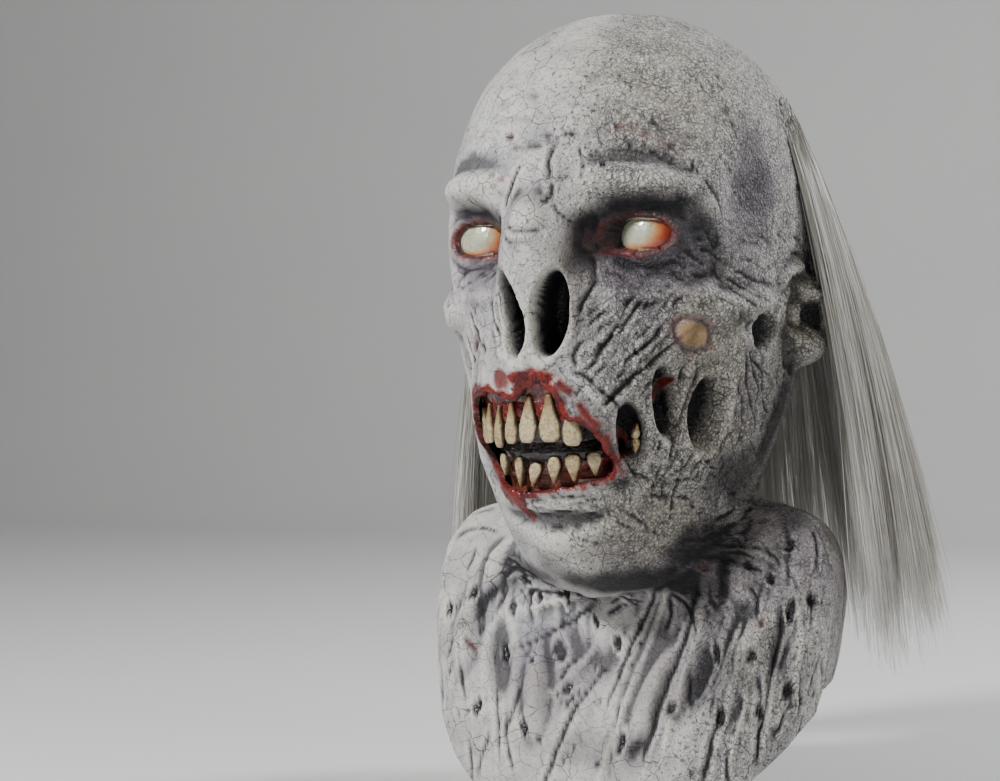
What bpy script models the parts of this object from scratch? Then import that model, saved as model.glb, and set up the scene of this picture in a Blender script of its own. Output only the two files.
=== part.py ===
"""Zombie mask: a hollow latex head with bib, set-in eyes, teeth and hair.

Metres, +Z up. The mask faces -Y, and +X is the mask's own left side.
The origin is the inner top of the crown, where the mask sits on a head.
"""
import math

import bmesh
import bpy
import numpy as np
from mathutils import Vector

# Driving sizes, metres
HEAD_HEIGHT = 0.300      # top of the crown to the underside of the chin
HEAD_WIDTH = 0.182       # across the temples
FACE_DEPTH = 0.112       # ear line to the front of the brow
BACK_DEPTH = 0.121       # ear line to the back of the head
BIB_WIDTH = 0.224        # across the shoulders of the bib
BIB_DROP = 0.118         # underside of the chin to the front tip of the bib
BIB_FRONT = 0.086        # ear line to the front of the bib
BIB_BACK = 0.107         # ear line to the back of the bib
HEM_SKEW = 0.010         # how much lower the hem hangs on the left side
WALL = 0.0025            # latex thickness
SEAT_GAP = 0.0005        # gap between pieces that touch
EYE_DIAMETER = 0.042
EYE_SPACING = 0.089      # between the two eye centres
EYE_SETBACK = 0.063      # ear line forward to an eye's centre
EYE_DROP = 0.120         # top of the crown down to an eye's centre
LID_WIDTH = 0.036
LID_HEIGHT = 0.0195
LID_PLAY = 0.0018        # extra room between an eye and its lids
TOOTH_DEPTH = 0.0050
LOWER_FORWARD = 0.0009   # the lower teeth stand this much further forward
TOOTH_CAGE = 1.20        # a tooth before rounding, as a share of its finished depth
LINING_WALL = 0.0020
MOUTH_DEPTH = 0.0060     # how much deeper the lining is between the jaws
HAIR_REACH = 0.134       # ear line out to the side locks' tips
HAIR_FALL = 0.352        # top of the crown down to the longest tips
LOCK_WIDTH = 0.031
LOCK_THICKNESS = 0.009
HAIR_BASE = 0.0032       # thickness of the strip that the locks are sewn to

# Facets
AROUND = 46
DOWN = 35
FRONT_CROWDING = 0.35    # columns are closer together at the face
EYE_FACETS = 14
LOCK_RINGS = 8
LOCK_SIDES = 6

# Sections from the crown down. Forward shares are of FACE_DEPTH, side shares
# of half HEAD_WIDTH, backward shares of BACK_DEPTH, and drops of HEAD_HEIGHT.
# Columns: front, front drop, side, side back, side drop, back, back drop
HEAD_SECTIONS = (
    (0.00, 0.000, 0.00, 0.00, 0.000, 0.00, 0.000),
    (0.26, 0.012, 0.29, 0.04, 0.012, 0.29, 0.016),
    (0.51, 0.054, 0.58, 0.07, 0.058, 0.58, 0.063),
    (0.75, 0.124, 0.80, 0.11, 0.132, 0.80, 0.140),
    (0.90, 0.220, 0.94, 0.13, 0.233, 0.95, 0.240),
    (0.98, 0.320, 1.00, 0.14, 0.343, 1.00, 0.360),
    (1.00, 0.407, 1.00, 0.13, 0.447, 0.97, 0.473),
    (0.965, 0.493, 0.965, 0.11, 0.540, 0.87, 0.580),
    (0.965, 0.580, 0.92, 0.08, 0.620, 0.75, 0.673),
    (0.99, 0.667, 0.86, 0.05, 0.687, 0.67, 0.747),
    (0.99, 0.740, 0.79, 0.04, 0.740, 0.62, 0.807),
    (0.92, 0.820, 0.725, 0.05, 0.783, 0.60, 0.853),
    (0.82, 0.900, 0.68, 0.07, 0.813, 0.60, 0.890),
    (0.69, 0.965, 0.67, 0.10, 0.833, 0.61, 0.920),
    (0.50, 1.000, 0.74, 0.12, 0.850, 0.645, 0.947),
)
# The bib, with the same columns: forward shares are of BIB_FRONT, side shares
# of half BIB_WIDTH, backward shares of BIB_BACK, drops below the chin of BIB_DROP
BIB_SECTIONS = (
    (0.47, 0.02, 0.75, 0.10, -0.35, 0.79, -0.08),
    (0.42, 0.10, 0.90, 0.05, -0.28, 0.86, -0.02),
    (0.51, 0.28, 0.98, -0.02, -0.14, 0.92, 0.04),
    (0.70, 0.50, 1.00, -0.06, 0.07, 0.95, 0.13),
    (0.88, 0.76, 0.97, -0.08, 0.29, 0.98, 0.21),
    (1.00, 1.00, 0.93, -0.08, 0.44, 1.00, 0.29),
)
FRONT_ROUNDNESS = 2.15   # 2 is an ellipse, more is squarer
BACK_ROUNDNESS = 2.1

# Raised and sunk forms of the face and bib. "around" is in degrees from the
# front towards the left side, "down" is the share of the way from crown to hem.
# Half sizes and pushes are shares of HEAD_WIDTH, and "flat" is the share of the
# form that is level before it eases out. Sides: both, one, left or right.
# Columns: name, sides, around, down, half width, half height, tilt, push, flat
FORMS = (
    ("forehead_boss", "both", 20, 0.190, 0.200, 0.170, 0, 0.010, 0.2),
    ("brow_ridge", "both", 30, 0.243, 0.210, 0.060, -4, 0.036, 0.2),
    ("glabella", "one", 0, 0.235, 0.100, 0.100, 0, 0.018, 0.2),
    ("eye_socket", "both", 27, 0.296, 0.195, 0.160, 4, -0.100, 0.15),
    ("temple_hollow", "both", 66, 0.250, 0.150, 0.200, 0, -0.030, 0.1),
    ("nose_bone", "one", 0, 0.335, 0.170, 0.300, 0, 0.085, 0.1),
    ("nose_root", "one", 0, 0.278, 0.065, 0.090, 0, 0.020, 0.2),
    ("cheekbone", "both", 50, 0.352, 0.170, 0.085, -6, 0.034, 0.2),
    ("cheek_arch", "both", 68, 0.340, 0.150, 0.055, 0, 0.022, 0.3),
    ("cheek_hollow", "both", 50, 0.440, 0.160, 0.200, 0, -0.040, 0.2),
    ("muzzle", "one", 0, 0.450, 0.300, 0.240, 0, 0.052, 0.35),
    ("mouth_corner", "both", 33, 0.530, 0.080, 0.100, 0, -0.020, 0.2),
    ("lower_lip_fold", "one", 0, 0.580, 0.200, 0.045, 0, -0.020, 0.3),
    ("chin_ball", "one", 0, 0.625, 0.150, 0.100, 0, 0.010, 0.3),
    ("nose_hole", "both", 5.5, 0.368, 0.046, 0.140, -7, -0.130, 0.55),
    ("molar_window", "left", 34, 0.488, 0.055, 0.105, 12, -0.075, 0.5),
    ("cheek_tear", "left", 46, 0.452, 0.055, 0.125, 10, -0.065, 0.5),
    ("cheek_oval", "left", 62, 0.463, 0.068, 0.120, -6, -0.105, 0.6),
    ("cheek_hole", "right", 39, 0.423, 0.055, 0.085, 0, -0.070, 0.5),
    ("ear", "both", 93, 0.352, 0.105, 0.155, 0, 0.075, 0.55),
    ("ear_hollow", "both", 88, 0.345, 0.050, 0.080, 0, -0.055, 0.4),
    ("ear_front", "both", 75, 0.366, 0.050, 0.070, 0, -0.045, 0.3),
    ("neck_cord", "both", 44, 0.790, 0.050, 0.110, 16, 0.026, 0.2),
    ("throat", "one", 0, 0.820, 0.060, 0.110, 0, 0.020, 0.2),
    ("bib_fold_left", "left", 16, 0.885, 0.050, 0.190, -12, 0.036, 0.2),
    ("bib_valley_left", "left", 28, 0.880, 0.045, 0.170, -12, -0.030, 0.2),
    ("bib_fold_outer", "left", 41, 0.880, 0.055, 0.180, -10, 0.034, 0.2),
    ("bib_dip_outer", "left", 57, 0.880, 0.055, 0.150, -8, -0.028, 0.2),
    ("bib_fold_right", "right", 15, 0.890, 0.050, 0.180, -10, 0.034, 0.2),
    ("bib_valley_right", "right", 29, 0.880, 0.050, 0.160, -12, -0.028, 0.2),
    ("bib_fold_far", "right", 45, 0.880, 0.055, 0.150, -8, 0.030, 0.2),
)
FORM_REACH = 0.25        # a form stops this share of HEAD_WIDTH below its surface

# Torn edge of the mouth, seen from the front, clockwise from the right upper
# corner. Columns: sideways share of half HEAD_WIDTH, drop share of HEAD_HEIGHT
MOUTH_EDGE = (
    (-0.395, 0.662), (-0.250, 0.652), (-0.160, 0.660), (-0.099, 0.667),
    (-0.035, 0.651), (0.049, 0.639), (0.113, 0.647), (0.172, 0.668),
    (0.214, 0.695), (0.296, 0.706), (0.353, 0.739), (0.362, 0.776),
    (0.326, 0.796), (0.260, 0.802), (0.172, 0.808), (0.056, 0.815),
    (-0.078, 0.819), (-0.195, 0.820), (-0.290, 0.808), (-0.370, 0.790),
    (-0.415, 0.760), (-0.425, 0.700),
)

# Teeth, from the right to the left. Lean turns the tip towards the left.
# Columns: around, down, width and height as shares of HEAD_WIDTH, lean
UPPER_TEETH = (
    (-26.5, 0.477, 0.034, 0.100, 0),
    (-19.0, 0.474, 0.033, 0.108, 3),
    (-13.2, 0.478, 0.034, 0.115, 4),
    (-7.6, 0.474, 0.042, 0.112, 2),
    (-1.6, 0.470, 0.056, 0.126, 3),
    (5.4, 0.469, 0.063, 0.126, -2),
    (13.0, 0.476, 0.056, 0.112, -2),
)
LOWER_TEETH = (
    (-27.6, 0.529, 0.024, 0.044, 8),
    (-21.5, 0.525, 0.031, 0.062, 12),
    (-12.3, 0.532, 0.031, 0.086, 12),
    (-4.3, 0.534, 0.038, 0.070, 24),
    (4.3, 0.528, 0.039, 0.074, 8),
    (12.2, 0.526, 0.044, 0.074, 0),
    (20.8, 0.523, 0.042, 0.062, -4),
)
# Molars in the torn window of the left cheek, same columns
WINDOW_TEETH = (
    (36.8, 0.487, 0.026, 0.042, 0),
    (37.6, 0.507, 0.026, 0.040, 0),
)
WINDOW_LIFT = 0.85        # how far a window tooth stands off its floor, as a share of its depth

# The lining of the mouth: how far behind the outer skin its front lies.
# Columns: down, share of the teeth's depth, share of MOUTH_DEPTH
LINING_PROFILE = (
    (0.405, 0.0, 0.0),
    (0.430, 0.1, 0.0),
    (0.450, 1.0, 0.0),
    (0.475, 1.0, 0.0),
    (0.498, 1.0, 1.0),
    (0.512, 1.0, 0.0),
    (0.555, 1.0, 0.0),
    (0.575, 0.1, 0.0),
    (0.600, 0.0, 0.0),
)
LINING_LEFT = 42         # degrees round from the front
LINING_RIGHT = -46
LINING_EASE = 0.22       # share of its width over which its ends rise

# Hair locks. Roots are on the strip at "around" degrees; tips are shares of
# HAIR_REACH sideways and back, and of HAIR_FALL down; bow is a share of
# HAIR_REACH outwards, and width a share of LOCK_WIDTH.
# Columns: around, tip side, tip back, tip down, bow, width
LEFT_LOCKS = (
    (96, 0.92, 0.24, 0.985, 0.08, 0.95),
    (104, 0.98, 0.44, 1.000, 0.10, 1.05),
    (112, 1.00, 0.66, 0.975, 0.09, 1.05),
    (119, 1.00, 0.78, 0.940, 0.08, 0.95),
    (126, 0.93, 0.92, 0.965, 0.07, 0.70),
)
RIGHT_LOCKS = (
    (-96, -0.90, 0.22, 0.960, 0.09, 0.95),
    (-104, -0.94, 0.40, 0.985, 0.10, 1.05),
    (-112, -0.96, 0.60, 1.000, 0.09, 1.05),
    (-119, -0.94, 0.76, 0.970, 0.08, 0.95),
    (-126, -0.89, 0.90, 0.960, 0.07, 0.70),
)
BACK_LOCKS = (
    (143, 0.60, 1.07, 0.970, 0.04, 0.70),
    (152, 0.42, 1.10, 0.990, 0.04, 1.00),
    (162, 0.24, 1.13, 0.965, 0.04, 1.10),
    (174, 0.10, 1.14, 0.985, 0.04, 1.10),
    (-174, -0.05, 1.14, 0.960, 0.04, 1.10),
    (-162, -0.24, 1.12, 0.985, 0.04, 1.10),
    (-150, -0.46, 1.10, 0.970, 0.04, 1.00),
    (-143, -0.60, 1.07, 0.980, 0.04, 0.70),
)
STRIP_TOP = 0.180        # where the hair strip runs, share of crown to hem
STRIP_LOW = 0.235
STRIP_END = 4.0          # degrees that the strip runs past its last locks
STRIP_STEP = 8.0
TIP_WIDTH = 0.30         # a lock's tip as a share of its width


def clear_scene():
    for item in list(bpy.data.objects):
        bpy.data.objects.remove(item, do_unlink=True)


def collection(name):
    """A collection of the scene, made if it is missing."""
    group = bpy.data.collections.get(name)
    if group is None:
        group = bpy.data.collections.new(name)
        bpy.context.scene.collection.children.link(group)
    return group


def material(name, colour, roughness, metallic=0.0):
    """A Principled material of one colour."""
    mat = bpy.data.materials.new(name)
    mat.use_nodes = True
    shader = mat.node_tree.nodes["Principled BSDF"]
    shader.inputs["Base Color"].default_value = (*colour, 1.0)
    shader.inputs["Roughness"].default_value = roughness
    shader.inputs["Metallic"].default_value = metallic
    return mat


def mesh_object(name, points, faces, mat, group, smooth=True):
    """A mesh object from points in metres, with its faces turned outwards."""
    mesh = bpy.data.meshes.new(name)
    mesh.from_pydata([tuple(p) for p in points], [], faces)
    mesh.materials.append(mat)
    part = bpy.data.objects.new(name, mesh)
    group.objects.link(part)
    shell = bmesh.new()
    shell.from_mesh(mesh)
    bmesh.ops.recalc_face_normals(shell, faces=shell.faces)
    shell.to_mesh(mesh)
    shell.free()
    if smooth:
        mesh.shade_smooth()
    return part


def section_rows():
    """All sections in metres, the chin's drop carried into the bib's rows."""
    head = np.array(HEAD_SECTIONS)
    bib = np.array(BIB_SECTIONS)
    head_scale = np.array((-FACE_DEPTH, -HEAD_HEIGHT, HEAD_WIDTH / 2, BACK_DEPTH,
                           -HEAD_HEIGHT, BACK_DEPTH, -HEAD_HEIGHT))
    bib_scale = np.array((-BIB_FRONT, -BIB_DROP, BIB_WIDTH / 2, BIB_BACK,
                          -BIB_DROP, BIB_BACK, -BIB_DROP))
    rows_head = head * head_scale
    rows_bib = bib * bib_scale
    rows_bib[:, (1, 4, 6)] -= HEAD_HEIGHT
    rows = np.concatenate((rows_head, rows_bib))
    rows[:, (1, 4, 6)] += WALL
    return rows


ROWS = section_rows()


def rails(down):
    """The section at a share of the way down, on smooth curves between rows."""
    last = len(ROWS) - 1
    at = np.clip(np.asarray(down, float) * last, 0, last - 1e-9)
    i = at.astype(int)
    f = (at - i)[..., None]
    a = ROWS[np.maximum(i - 1, 0)]
    b = ROWS[i]
    c = ROWS[np.minimum(i + 1, last)]
    d = ROWS[np.minimum(i + 2, last)]
    return 0.5 * (2 * b + (c - a) * f + (2 * a - 5 * b + 4 * c - d) * f ** 2
                  + (3 * b - a - 3 * c + d) * f ** 3)


def plain_surface(around, down):
    """The smooth head and bib without its forms; around is in radians."""
    around, down = np.broadcast_arrays(np.asarray(around, float), np.asarray(down, float))
    front, front_z, side, side_y, side_z, back, back_z = np.moveaxis(rails(down), -1, 0)
    cosine = np.cos(around)
    sine = np.sin(around)
    ahead = cosine >= 0
    power = 2 / np.where(ahead, FRONT_ROUNDNESS, BACK_ROUNDNESS)
    out = np.sign(sine) * np.abs(sine) ** power
    along = np.abs(cosine) ** power
    slope = along ** 1.5
    x = side * out
    y = side_y + (np.where(ahead, front, back) - side_y) * along
    z = side_z + (np.where(ahead, front_z, back_z) - side_z) * slope
    low = np.clip((down - 0.75) / 0.25, 0, 1)
    z = z - HEM_SKEW * low * np.where(ahead, sine, 0)
    return np.stack((x, y, z), -1)


def surface_and_normal(around, down):
    """Points of the plain surface and their outward normals."""
    step = 1e-3
    around, down = np.broadcast_arrays(np.asarray(around, float), np.asarray(down, float))
    lower = plain_surface(around, np.minimum(down + step, 1))
    upper = plain_surface(around, np.maximum(down - step, 0))
    sideways = plain_surface(around + step, down) - plain_surface(around - step, down)
    normal = np.cross(lower - upper, sideways)
    length = np.linalg.norm(normal, axis=-1, keepdims=True)
    normal = np.where(length > 1e-12, normal / np.maximum(length, 1e-12), (0.0, 0.0, 1.0))
    return plain_surface(around, down), normal


def local_frame(around_degrees, down):
    """Centre, sideways, upwards and outward directions at a place of the surface."""
    centre, outward = surface_and_normal(math.radians(around_degrees), down)
    sideways = np.cross((0.0, 0.0, 1.0), outward)
    sideways /= np.linalg.norm(sideways)
    upwards = np.cross(outward, sideways)
    return centre, sideways, upwards, outward


def form_weight(points, around, down, half_width, half_height, tilt, flat):
    """0 to 1: how strongly one form acts on each point."""
    centre, sideways, upwards, outward = local_frame(around, down)
    offset = points - centre
    turn = math.radians(tilt)
    a = offset @ sideways
    b = offset @ upwards
    wide = (a * math.cos(turn) + b * math.sin(turn)) / (half_width * HEAD_WIDTH)
    tall = (b * math.cos(turn) - a * math.sin(turn)) / (half_height * HEAD_WIDTH)
    rise = np.clip((1 - np.hypot(wide, tall)) / (1 - flat), 0, 1)
    near = (offset @ outward) > -FORM_REACH * HEAD_WIDTH
    return rise * rise * (3 - 2 * rise) * near


def form_push(points):
    """How far all forms together push each point outwards, in metres."""
    signs = {"both": (1, -1), "one": (1,), "left": (1,), "right": (-1,)}
    total = np.zeros(points.shape[:-1])
    for _, sides, around, down, half_width, half_height, tilt, push, flat in FORMS:
        for sign in signs[sides]:
            weight = form_weight(points, sign * around, down, half_width, half_height,
                                 sign * tilt, flat)
            total += push * HEAD_WIDTH * weight
    return total


def eye_centre(sign):
    return np.array((sign * EYE_SPACING / 2, -EYE_SETBACK, WALL - EYE_DROP))


def round_eyes(points, clearance):
    """Lift points off both eyes, so that lids lie over them."""
    reach = EYE_DIAMETER / 2 + clearance
    for sign in (1, -1):
        centre = eye_centre(sign)
        offset = points - centre
        distance = np.linalg.norm(offset, axis=-1, keepdims=True)
        inside = (distance < reach) & (offset[..., 1:2] < reach / 2)
        points = np.where(inside, centre + offset / distance * reach, points)
    return points


def skin_points(around, down, depth=0.0):
    """Points of the sculpted skin, depth metres behind its outer face."""
    points, normal = surface_and_normal(around, down)
    pushed = points + normal * (form_push(points) - depth)[..., None]
    return round_eyes(pushed, SEAT_GAP + LID_PLAY + max(WALL - np.max(depth), 0))


def column_angles():
    """Azimuths of the columns in radians, crowded at the face."""
    even = np.linspace(-math.pi, math.pi, AROUND, endpoint=False)
    return even - FRONT_CROWDING * np.sin(even)


def row_shares():
    """Shares of the rows from crown to hem, crowded at the face."""
    fine = np.linspace(0, 1, 400)
    crowd = 1 + 1.0 * np.exp(-((fine - 0.42) / 0.17) ** 2)
    run = np.concatenate(((0,), np.cumsum((crowd[1:] + crowd[:-1]) / 2)))
    return np.interp(np.linspace(0, 1, DOWN + 1), run / run[-1], fine)[1:]


def ring_faces(rows, columns, start=0, closed=True):
    """Quads of a grid of points stored row by row."""
    faces = []
    for row in range(rows - 1):
        for column in range(columns if closed else columns - 1):
            after = (column + 1) % columns
            here = start + row * columns
            faces.append((here + column, here + after, here + columns + after,
                          here + columns + column))
    return faces


def prism(name, outline, front, back, group):
    """A cutter: an outline in X and Z, extruded between two depths in Y."""
    count = len(outline)
    points = [(x, front, z) for x, z in outline] + [(x, back, z) for x, z in outline]
    faces = [tuple(range(count)), tuple(range(2 * count - 1, count - 1, -1))]
    for i in range(count):
        j = (i + 1) % count
        faces.append((i, j, count + j, count + i))
    cutter = mesh_object(name, points, faces, bpy.data.materials["latex"], group, smooth=False)
    cutter.hide_render = True
    cutter.display_type = "WIRE"
    return cutter


def mouth_outline():
    return [(x * HEAD_WIDTH / 2, WALL - drop * HEAD_HEIGHT) for x, drop in MOUTH_EDGE]


def lid_outline(sign):
    """The opening between an eye's lids: a lens with a fuller upper lid."""
    centre = eye_centre(sign)
    outline = []
    for step in range(16):
        angle = 2 * math.pi * step / 16
        height = LID_HEIGHT / 2 * (1.06 if math.sin(angle) > 0 else 0.94)
        x = LID_WIDTH / 2 * math.copysign(abs(math.cos(angle)) ** 0.9, math.cos(angle))
        outline.append((centre[0] + x, centre[2] + height * math.sin(angle)))
    return outline


def cut(part, cutter):
    boolean = part.modifiers.new(cutter.name, "BOOLEAN")
    boolean.operation = "DIFFERENCE"
    boolean.object = cutter


def make_skin(group, cutters):
    """The latex skin: outer and inner face lofted from crown to open hem."""
    angles = column_angles()
    shares = row_shares()
    around, down = np.meshgrid(angles, shares)
    outer = skin_points(around, down)
    inner = skin_points(around, down, np.full(around.shape, WALL))
    rows, columns = around.shape
    points = np.concatenate((outer.reshape(-1, 3), inner.reshape(-1, 3),
                             ((0, 0, WALL), (0, 0, 0))))
    inner_start = rows * columns
    crown_outer, crown_inner = 2 * inner_start, 2 * inner_start + 1
    faces = ring_faces(rows, columns)
    faces += ring_faces(rows, columns, inner_start)
    hem = (rows - 1) * columns
    for column in range(columns):
        after = (column + 1) % columns
        faces.append((crown_outer, after, column))
        faces.append((crown_inner, inner_start + column, inner_start + after))
        faces.append((hem + column, hem + after, inner_start + hem + after,
                      inner_start + hem + column))
    skin = mesh_object("skin", points, faces, material("latex_skin", (0.52, 0.50, 0.46), 0.6), group)
    cut(skin, prism("mouth_cutter", mouth_outline(), -1.5 * FACE_DEPTH, -0.5 * FACE_DEPTH, cutters))
    for name, sign in (("left", 1), ("right", -1)):
        cut(skin, prism("lid_cutter_" + name, lid_outline(sign), -1.5 * FACE_DEPTH,
                        -EYE_SETBACK, cutters))
    return skin


def make_eyes(group):
    """Two round eyes behind the lids, each with its pole to the front."""
    mat = material("eye_glaze", (0.72, 0.74, 0.62), 0.15)
    for name, sign in (("eye_left", 1), ("eye_right", -1)):
        bpy.ops.mesh.primitive_uv_sphere_add(
            segments=EYE_FACETS, ring_count=EYE_FACETS // 2 + 1, radius=EYE_DIAMETER / 2,
            location=eye_centre(sign), rotation=(math.pi / 2, 0, 0))
        eye = bpy.context.object
        eye.name = name
        eye.data.materials.append(mat)
        eye.data.shade_smooth()
        for owner in list(eye.users_collection):
            owner.objects.unlink(eye)
        group.objects.link(eye)


def lining_depth(around_degrees, down):
    """How far the front of the mouth's lining lies behind the outer skin."""
    table = np.array(LINING_PROFILE)
    tooth_room = TOOTH_DEPTH + SEAT_GAP
    profile = (np.interp(down, table[:, 0], table[:, 1]) * tooth_room
               + np.interp(down, table[:, 0], table[:, 2]) * MOUTH_DEPTH)
    span = LINING_LEFT - LINING_RIGHT
    to_end = np.minimum(LINING_LEFT - around_degrees, around_degrees - LINING_RIGHT) / span
    ease = np.clip(to_end / LINING_EASE, 0, 1)
    return WALL + SEAT_GAP + profile * ease * (2 - ease)


def make_lining(group):
    """The dark mouth: gums above and below, sunk between the jaws."""
    angles = column_angles()
    shares = row_shares()
    degrees = np.degrees(angles)
    angles = angles[(degrees >= LINING_RIGHT) & (degrees <= LINING_LEFT)]
    first, last = LINING_PROFILE[0][0], LINING_PROFILE[-1][0]
    shares = shares[(shares >= first) & (shares <= last)]
    around, down = np.meshgrid(angles, shares)
    depth = lining_depth(np.degrees(around), down)
    front = skin_points(around, down, depth)
    rear = skin_points(around, down, depth + LINING_WALL)
    rows, columns = around.shape
    rear_start = rows * columns
    points = np.concatenate((front.reshape(-1, 3), rear.reshape(-1, 3)))
    faces = ring_faces(rows, columns, 0, False) + ring_faces(rows, columns, rear_start, False)
    border = ([(0, c) for c in range(columns)] + [(r, columns - 1) for r in range(1, rows)]
              + [(rows - 1, c) for c in range(columns - 2, -1, -1)]
              + [(r, 0) for r in range(rows - 2, 0, -1)])
    ring = [r * columns + c for r, c in border]
    for i, here in enumerate(ring):
        after = ring[(i + 1) % len(ring)]
        faces.append((here, after, rear_start + after, rear_start + here))
    return mesh_object("mouth_lining", points, faces,
                       material("mouth_black", (0.03, 0.02, 0.02), 0.12), group)


def make_tooth(name, row, mat, group, behind, upper=True):
    """One tooth: a tapered cage, narrow at the root, rounded by subdivision."""
    around, down, width, height, lean = row
    angle = math.radians(around)
    front = skin_points(angle, down, behind)
    _, sideways, upwards, outward = local_frame(around, down)
    turn = math.radians(lean)
    across = sideways * math.cos(turn) - upwards * math.sin(turn)
    along = upwards * math.cos(turn) + sideways * math.sin(turn)
    toward_root = along if upper else -along
    bpy.ops.mesh.primitive_cube_add(size=1)
    tooth = bpy.context.object
    tooth.name = name
    tooth.data.name = name
    for vertex in tooth.data.vertices:
        x, y, z = vertex.co
        root = z > 0
        taper = 0.62 if root else 1.0
        thick = 0.80 if root else 1.0
        place = (front + across * (x * taper * width * HEAD_WIDTH)
                 + outward * ((y * thick * TOOTH_CAGE - 0.5) * TOOTH_DEPTH)
                 + toward_root * (z * height * HEAD_WIDTH))
        vertex.co = Vector(place)
    shell = bmesh.new()
    shell.from_mesh(tooth.data)
    bmesh.ops.subdivide_edges(shell, edges=[e for e in shell.edges if e.calc_length()
                                            > 0.6 * height * HEAD_WIDTH], cuts=1)
    bmesh.ops.recalc_face_normals(shell, faces=shell.faces)
    shell.to_mesh(tooth.data)
    shell.free()
    smooth = tooth.modifiers.new("round", "SUBSURF")
    smooth.levels = 1
    smooth.render_levels = 1
    tooth.data.materials.append(mat)
    for owner in list(tooth.users_collection):
        owner.objects.unlink(tooth)
    group.objects.link(tooth)
    return tooth


def make_teeth(group):
    mat = material("tooth_enamel", (0.62, 0.52, 0.30), 0.25)
    seated = WALL + SEAT_GAP
    for i, row in enumerate(UPPER_TEETH):
        make_tooth("tooth_upper_%02d" % (i + 1), row, mat, group, seated)
    for i, row in enumerate(LOWER_TEETH):
        make_tooth("tooth_lower_%02d" % (i + 1), row, mat, group, seated - LOWER_FORWARD, upper=False)
    proud = -TOOTH_DEPTH * (1 + WINDOW_LIFT) - SEAT_GAP
    for i, row in enumerate(WINDOW_TEETH):
        make_tooth("tooth_window_%02d" % (i + 1), row, mat, group, proud, upper=i == 0)


def hair_strip(name, first, last, mat, group):
    """The curved strip that the locks are sewn to, just off the skin."""
    steps = max(2, round(abs(last - first) / STRIP_STEP))
    degrees = np.linspace(first, last, steps + 1)
    around, down = np.meshgrid(np.radians(degrees), np.linspace(STRIP_TOP, STRIP_LOW, 3))
    near, normal = surface_and_normal(around, down)
    near = near + normal * (form_push(near) + 2 * SEAT_GAP)[..., None]
    far = near + normal * HAIR_BASE
    rows, columns = around.shape
    start = rows * columns
    points = np.concatenate((near.reshape(-1, 3), far.reshape(-1, 3)))
    faces = ring_faces(rows, columns, 0, False) + ring_faces(rows, columns, start, False)
    border = ([(0, c) for c in range(columns)] + [(r, columns - 1) for r in range(1, rows)]
              + [(rows - 1, c) for c in range(columns - 2, -1, -1)]
              + [(r, 0) for r in range(rows - 2, 0, -1)])
    ring = [r * columns + c for r, c in border]
    for i, here in enumerate(ring):
        after = ring[(i + 1) % len(ring)]
        faces.append((here, after, start + after, start + here))
    return mesh_object(name, points, faces, mat, group)


def lock_path(row):
    """Centre line of a lock: out from the strip, then down to its tip."""
    around, side, back, fall, bow, _ = row
    middle = (STRIP_TOP + STRIP_LOW) / 2
    root, normal = surface_and_normal(math.radians(around), middle)
    outward = np.array((normal[0], normal[1], 0.0))
    outward /= np.linalg.norm(outward)
    root = root + normal * (2 * SEAT_GAP + HAIR_BASE + LOCK_THICKNESS / 4)
    tip = np.array((side * HAIR_REACH, back * HAIR_REACH, WALL - fall * HAIR_FALL))
    shoulder = root * 0.75 + tip * 0.25 + outward * bow * HAIR_REACH
    knee = root * 0.35 + tip * 0.65 + outward * bow * HAIR_REACH * 0.8
    share = np.linspace(0, 1, LOCK_RINGS)[:, None]
    path = ((1 - share) ** 3 * root + 3 * (1 - share) ** 2 * share * shoulder
            + 3 * (1 - share) * share ** 2 * knee + share ** 3 * tip)
    return path, outward


def make_lock(name, row, mat, group):
    """One lock: a flat tapering loft round its path."""
    path, outward = lock_path(row)
    width = row[-1] * LOCK_WIDTH
    sideways = np.cross((0.0, 0.0, 1.0), outward)
    points = []
    for ring in range(LOCK_RINGS):
        share = ring / (LOCK_RINGS - 1)
        swell = 0.80 + 0.45 * math.sin(math.pi * min(share * 1.1, 1.0)) ** 0.8
        taper = swell * (1 - (1 - TIP_WIDTH) * share ** 3)
        thick = 0.70 + 0.5 * math.sin(math.pi * share) - 0.3 * share
        before = path[max(ring - 1, 0)]
        after = path[min(ring + 1, LOCK_RINGS - 1)]
        along = (after - before) / np.linalg.norm(after - before)
        facing = np.cross(sideways, along)
        facing /= np.linalg.norm(facing)
        for side in range(LOCK_SIDES):
            angle = 2 * math.pi * side / LOCK_SIDES
            points.append(path[ring] + sideways * (math.cos(angle) * width * taper / 2)
                          + facing * (math.sin(angle) * LOCK_THICKNESS * thick / 2))
    faces = ring_faces(LOCK_RINGS, LOCK_SIDES)
    faces.append(tuple(range(LOCK_SIDES)))
    faces.append(tuple(range(len(points) - 1, len(points) - 1 - LOCK_SIDES, -1)))
    lock = mesh_object(name, points, faces, mat, group)
    lock.hide_render = True
    lock.display_type = "WIRE"
    return lock


def make_hair(name, locks, mat, group, cutters):
    """One part of the fringe: its strip with all its locks joined on."""
    degrees = np.degrees(np.unwrap(np.radians([row[0] for row in locks])))
    ends = sorted((degrees[0], degrees[-1]))
    hair = hair_strip(name, ends[0] - STRIP_END, ends[1] + STRIP_END, mat, group)
    for i, row in enumerate(locks):
        lock = make_lock("%s_lock_%02d" % (name, i + 1), row, mat, cutters)
        union = hair.modifiers.new(lock.name, "BOOLEAN")
        union.operation = "UNION"
        union.object = lock
    return hair


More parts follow.
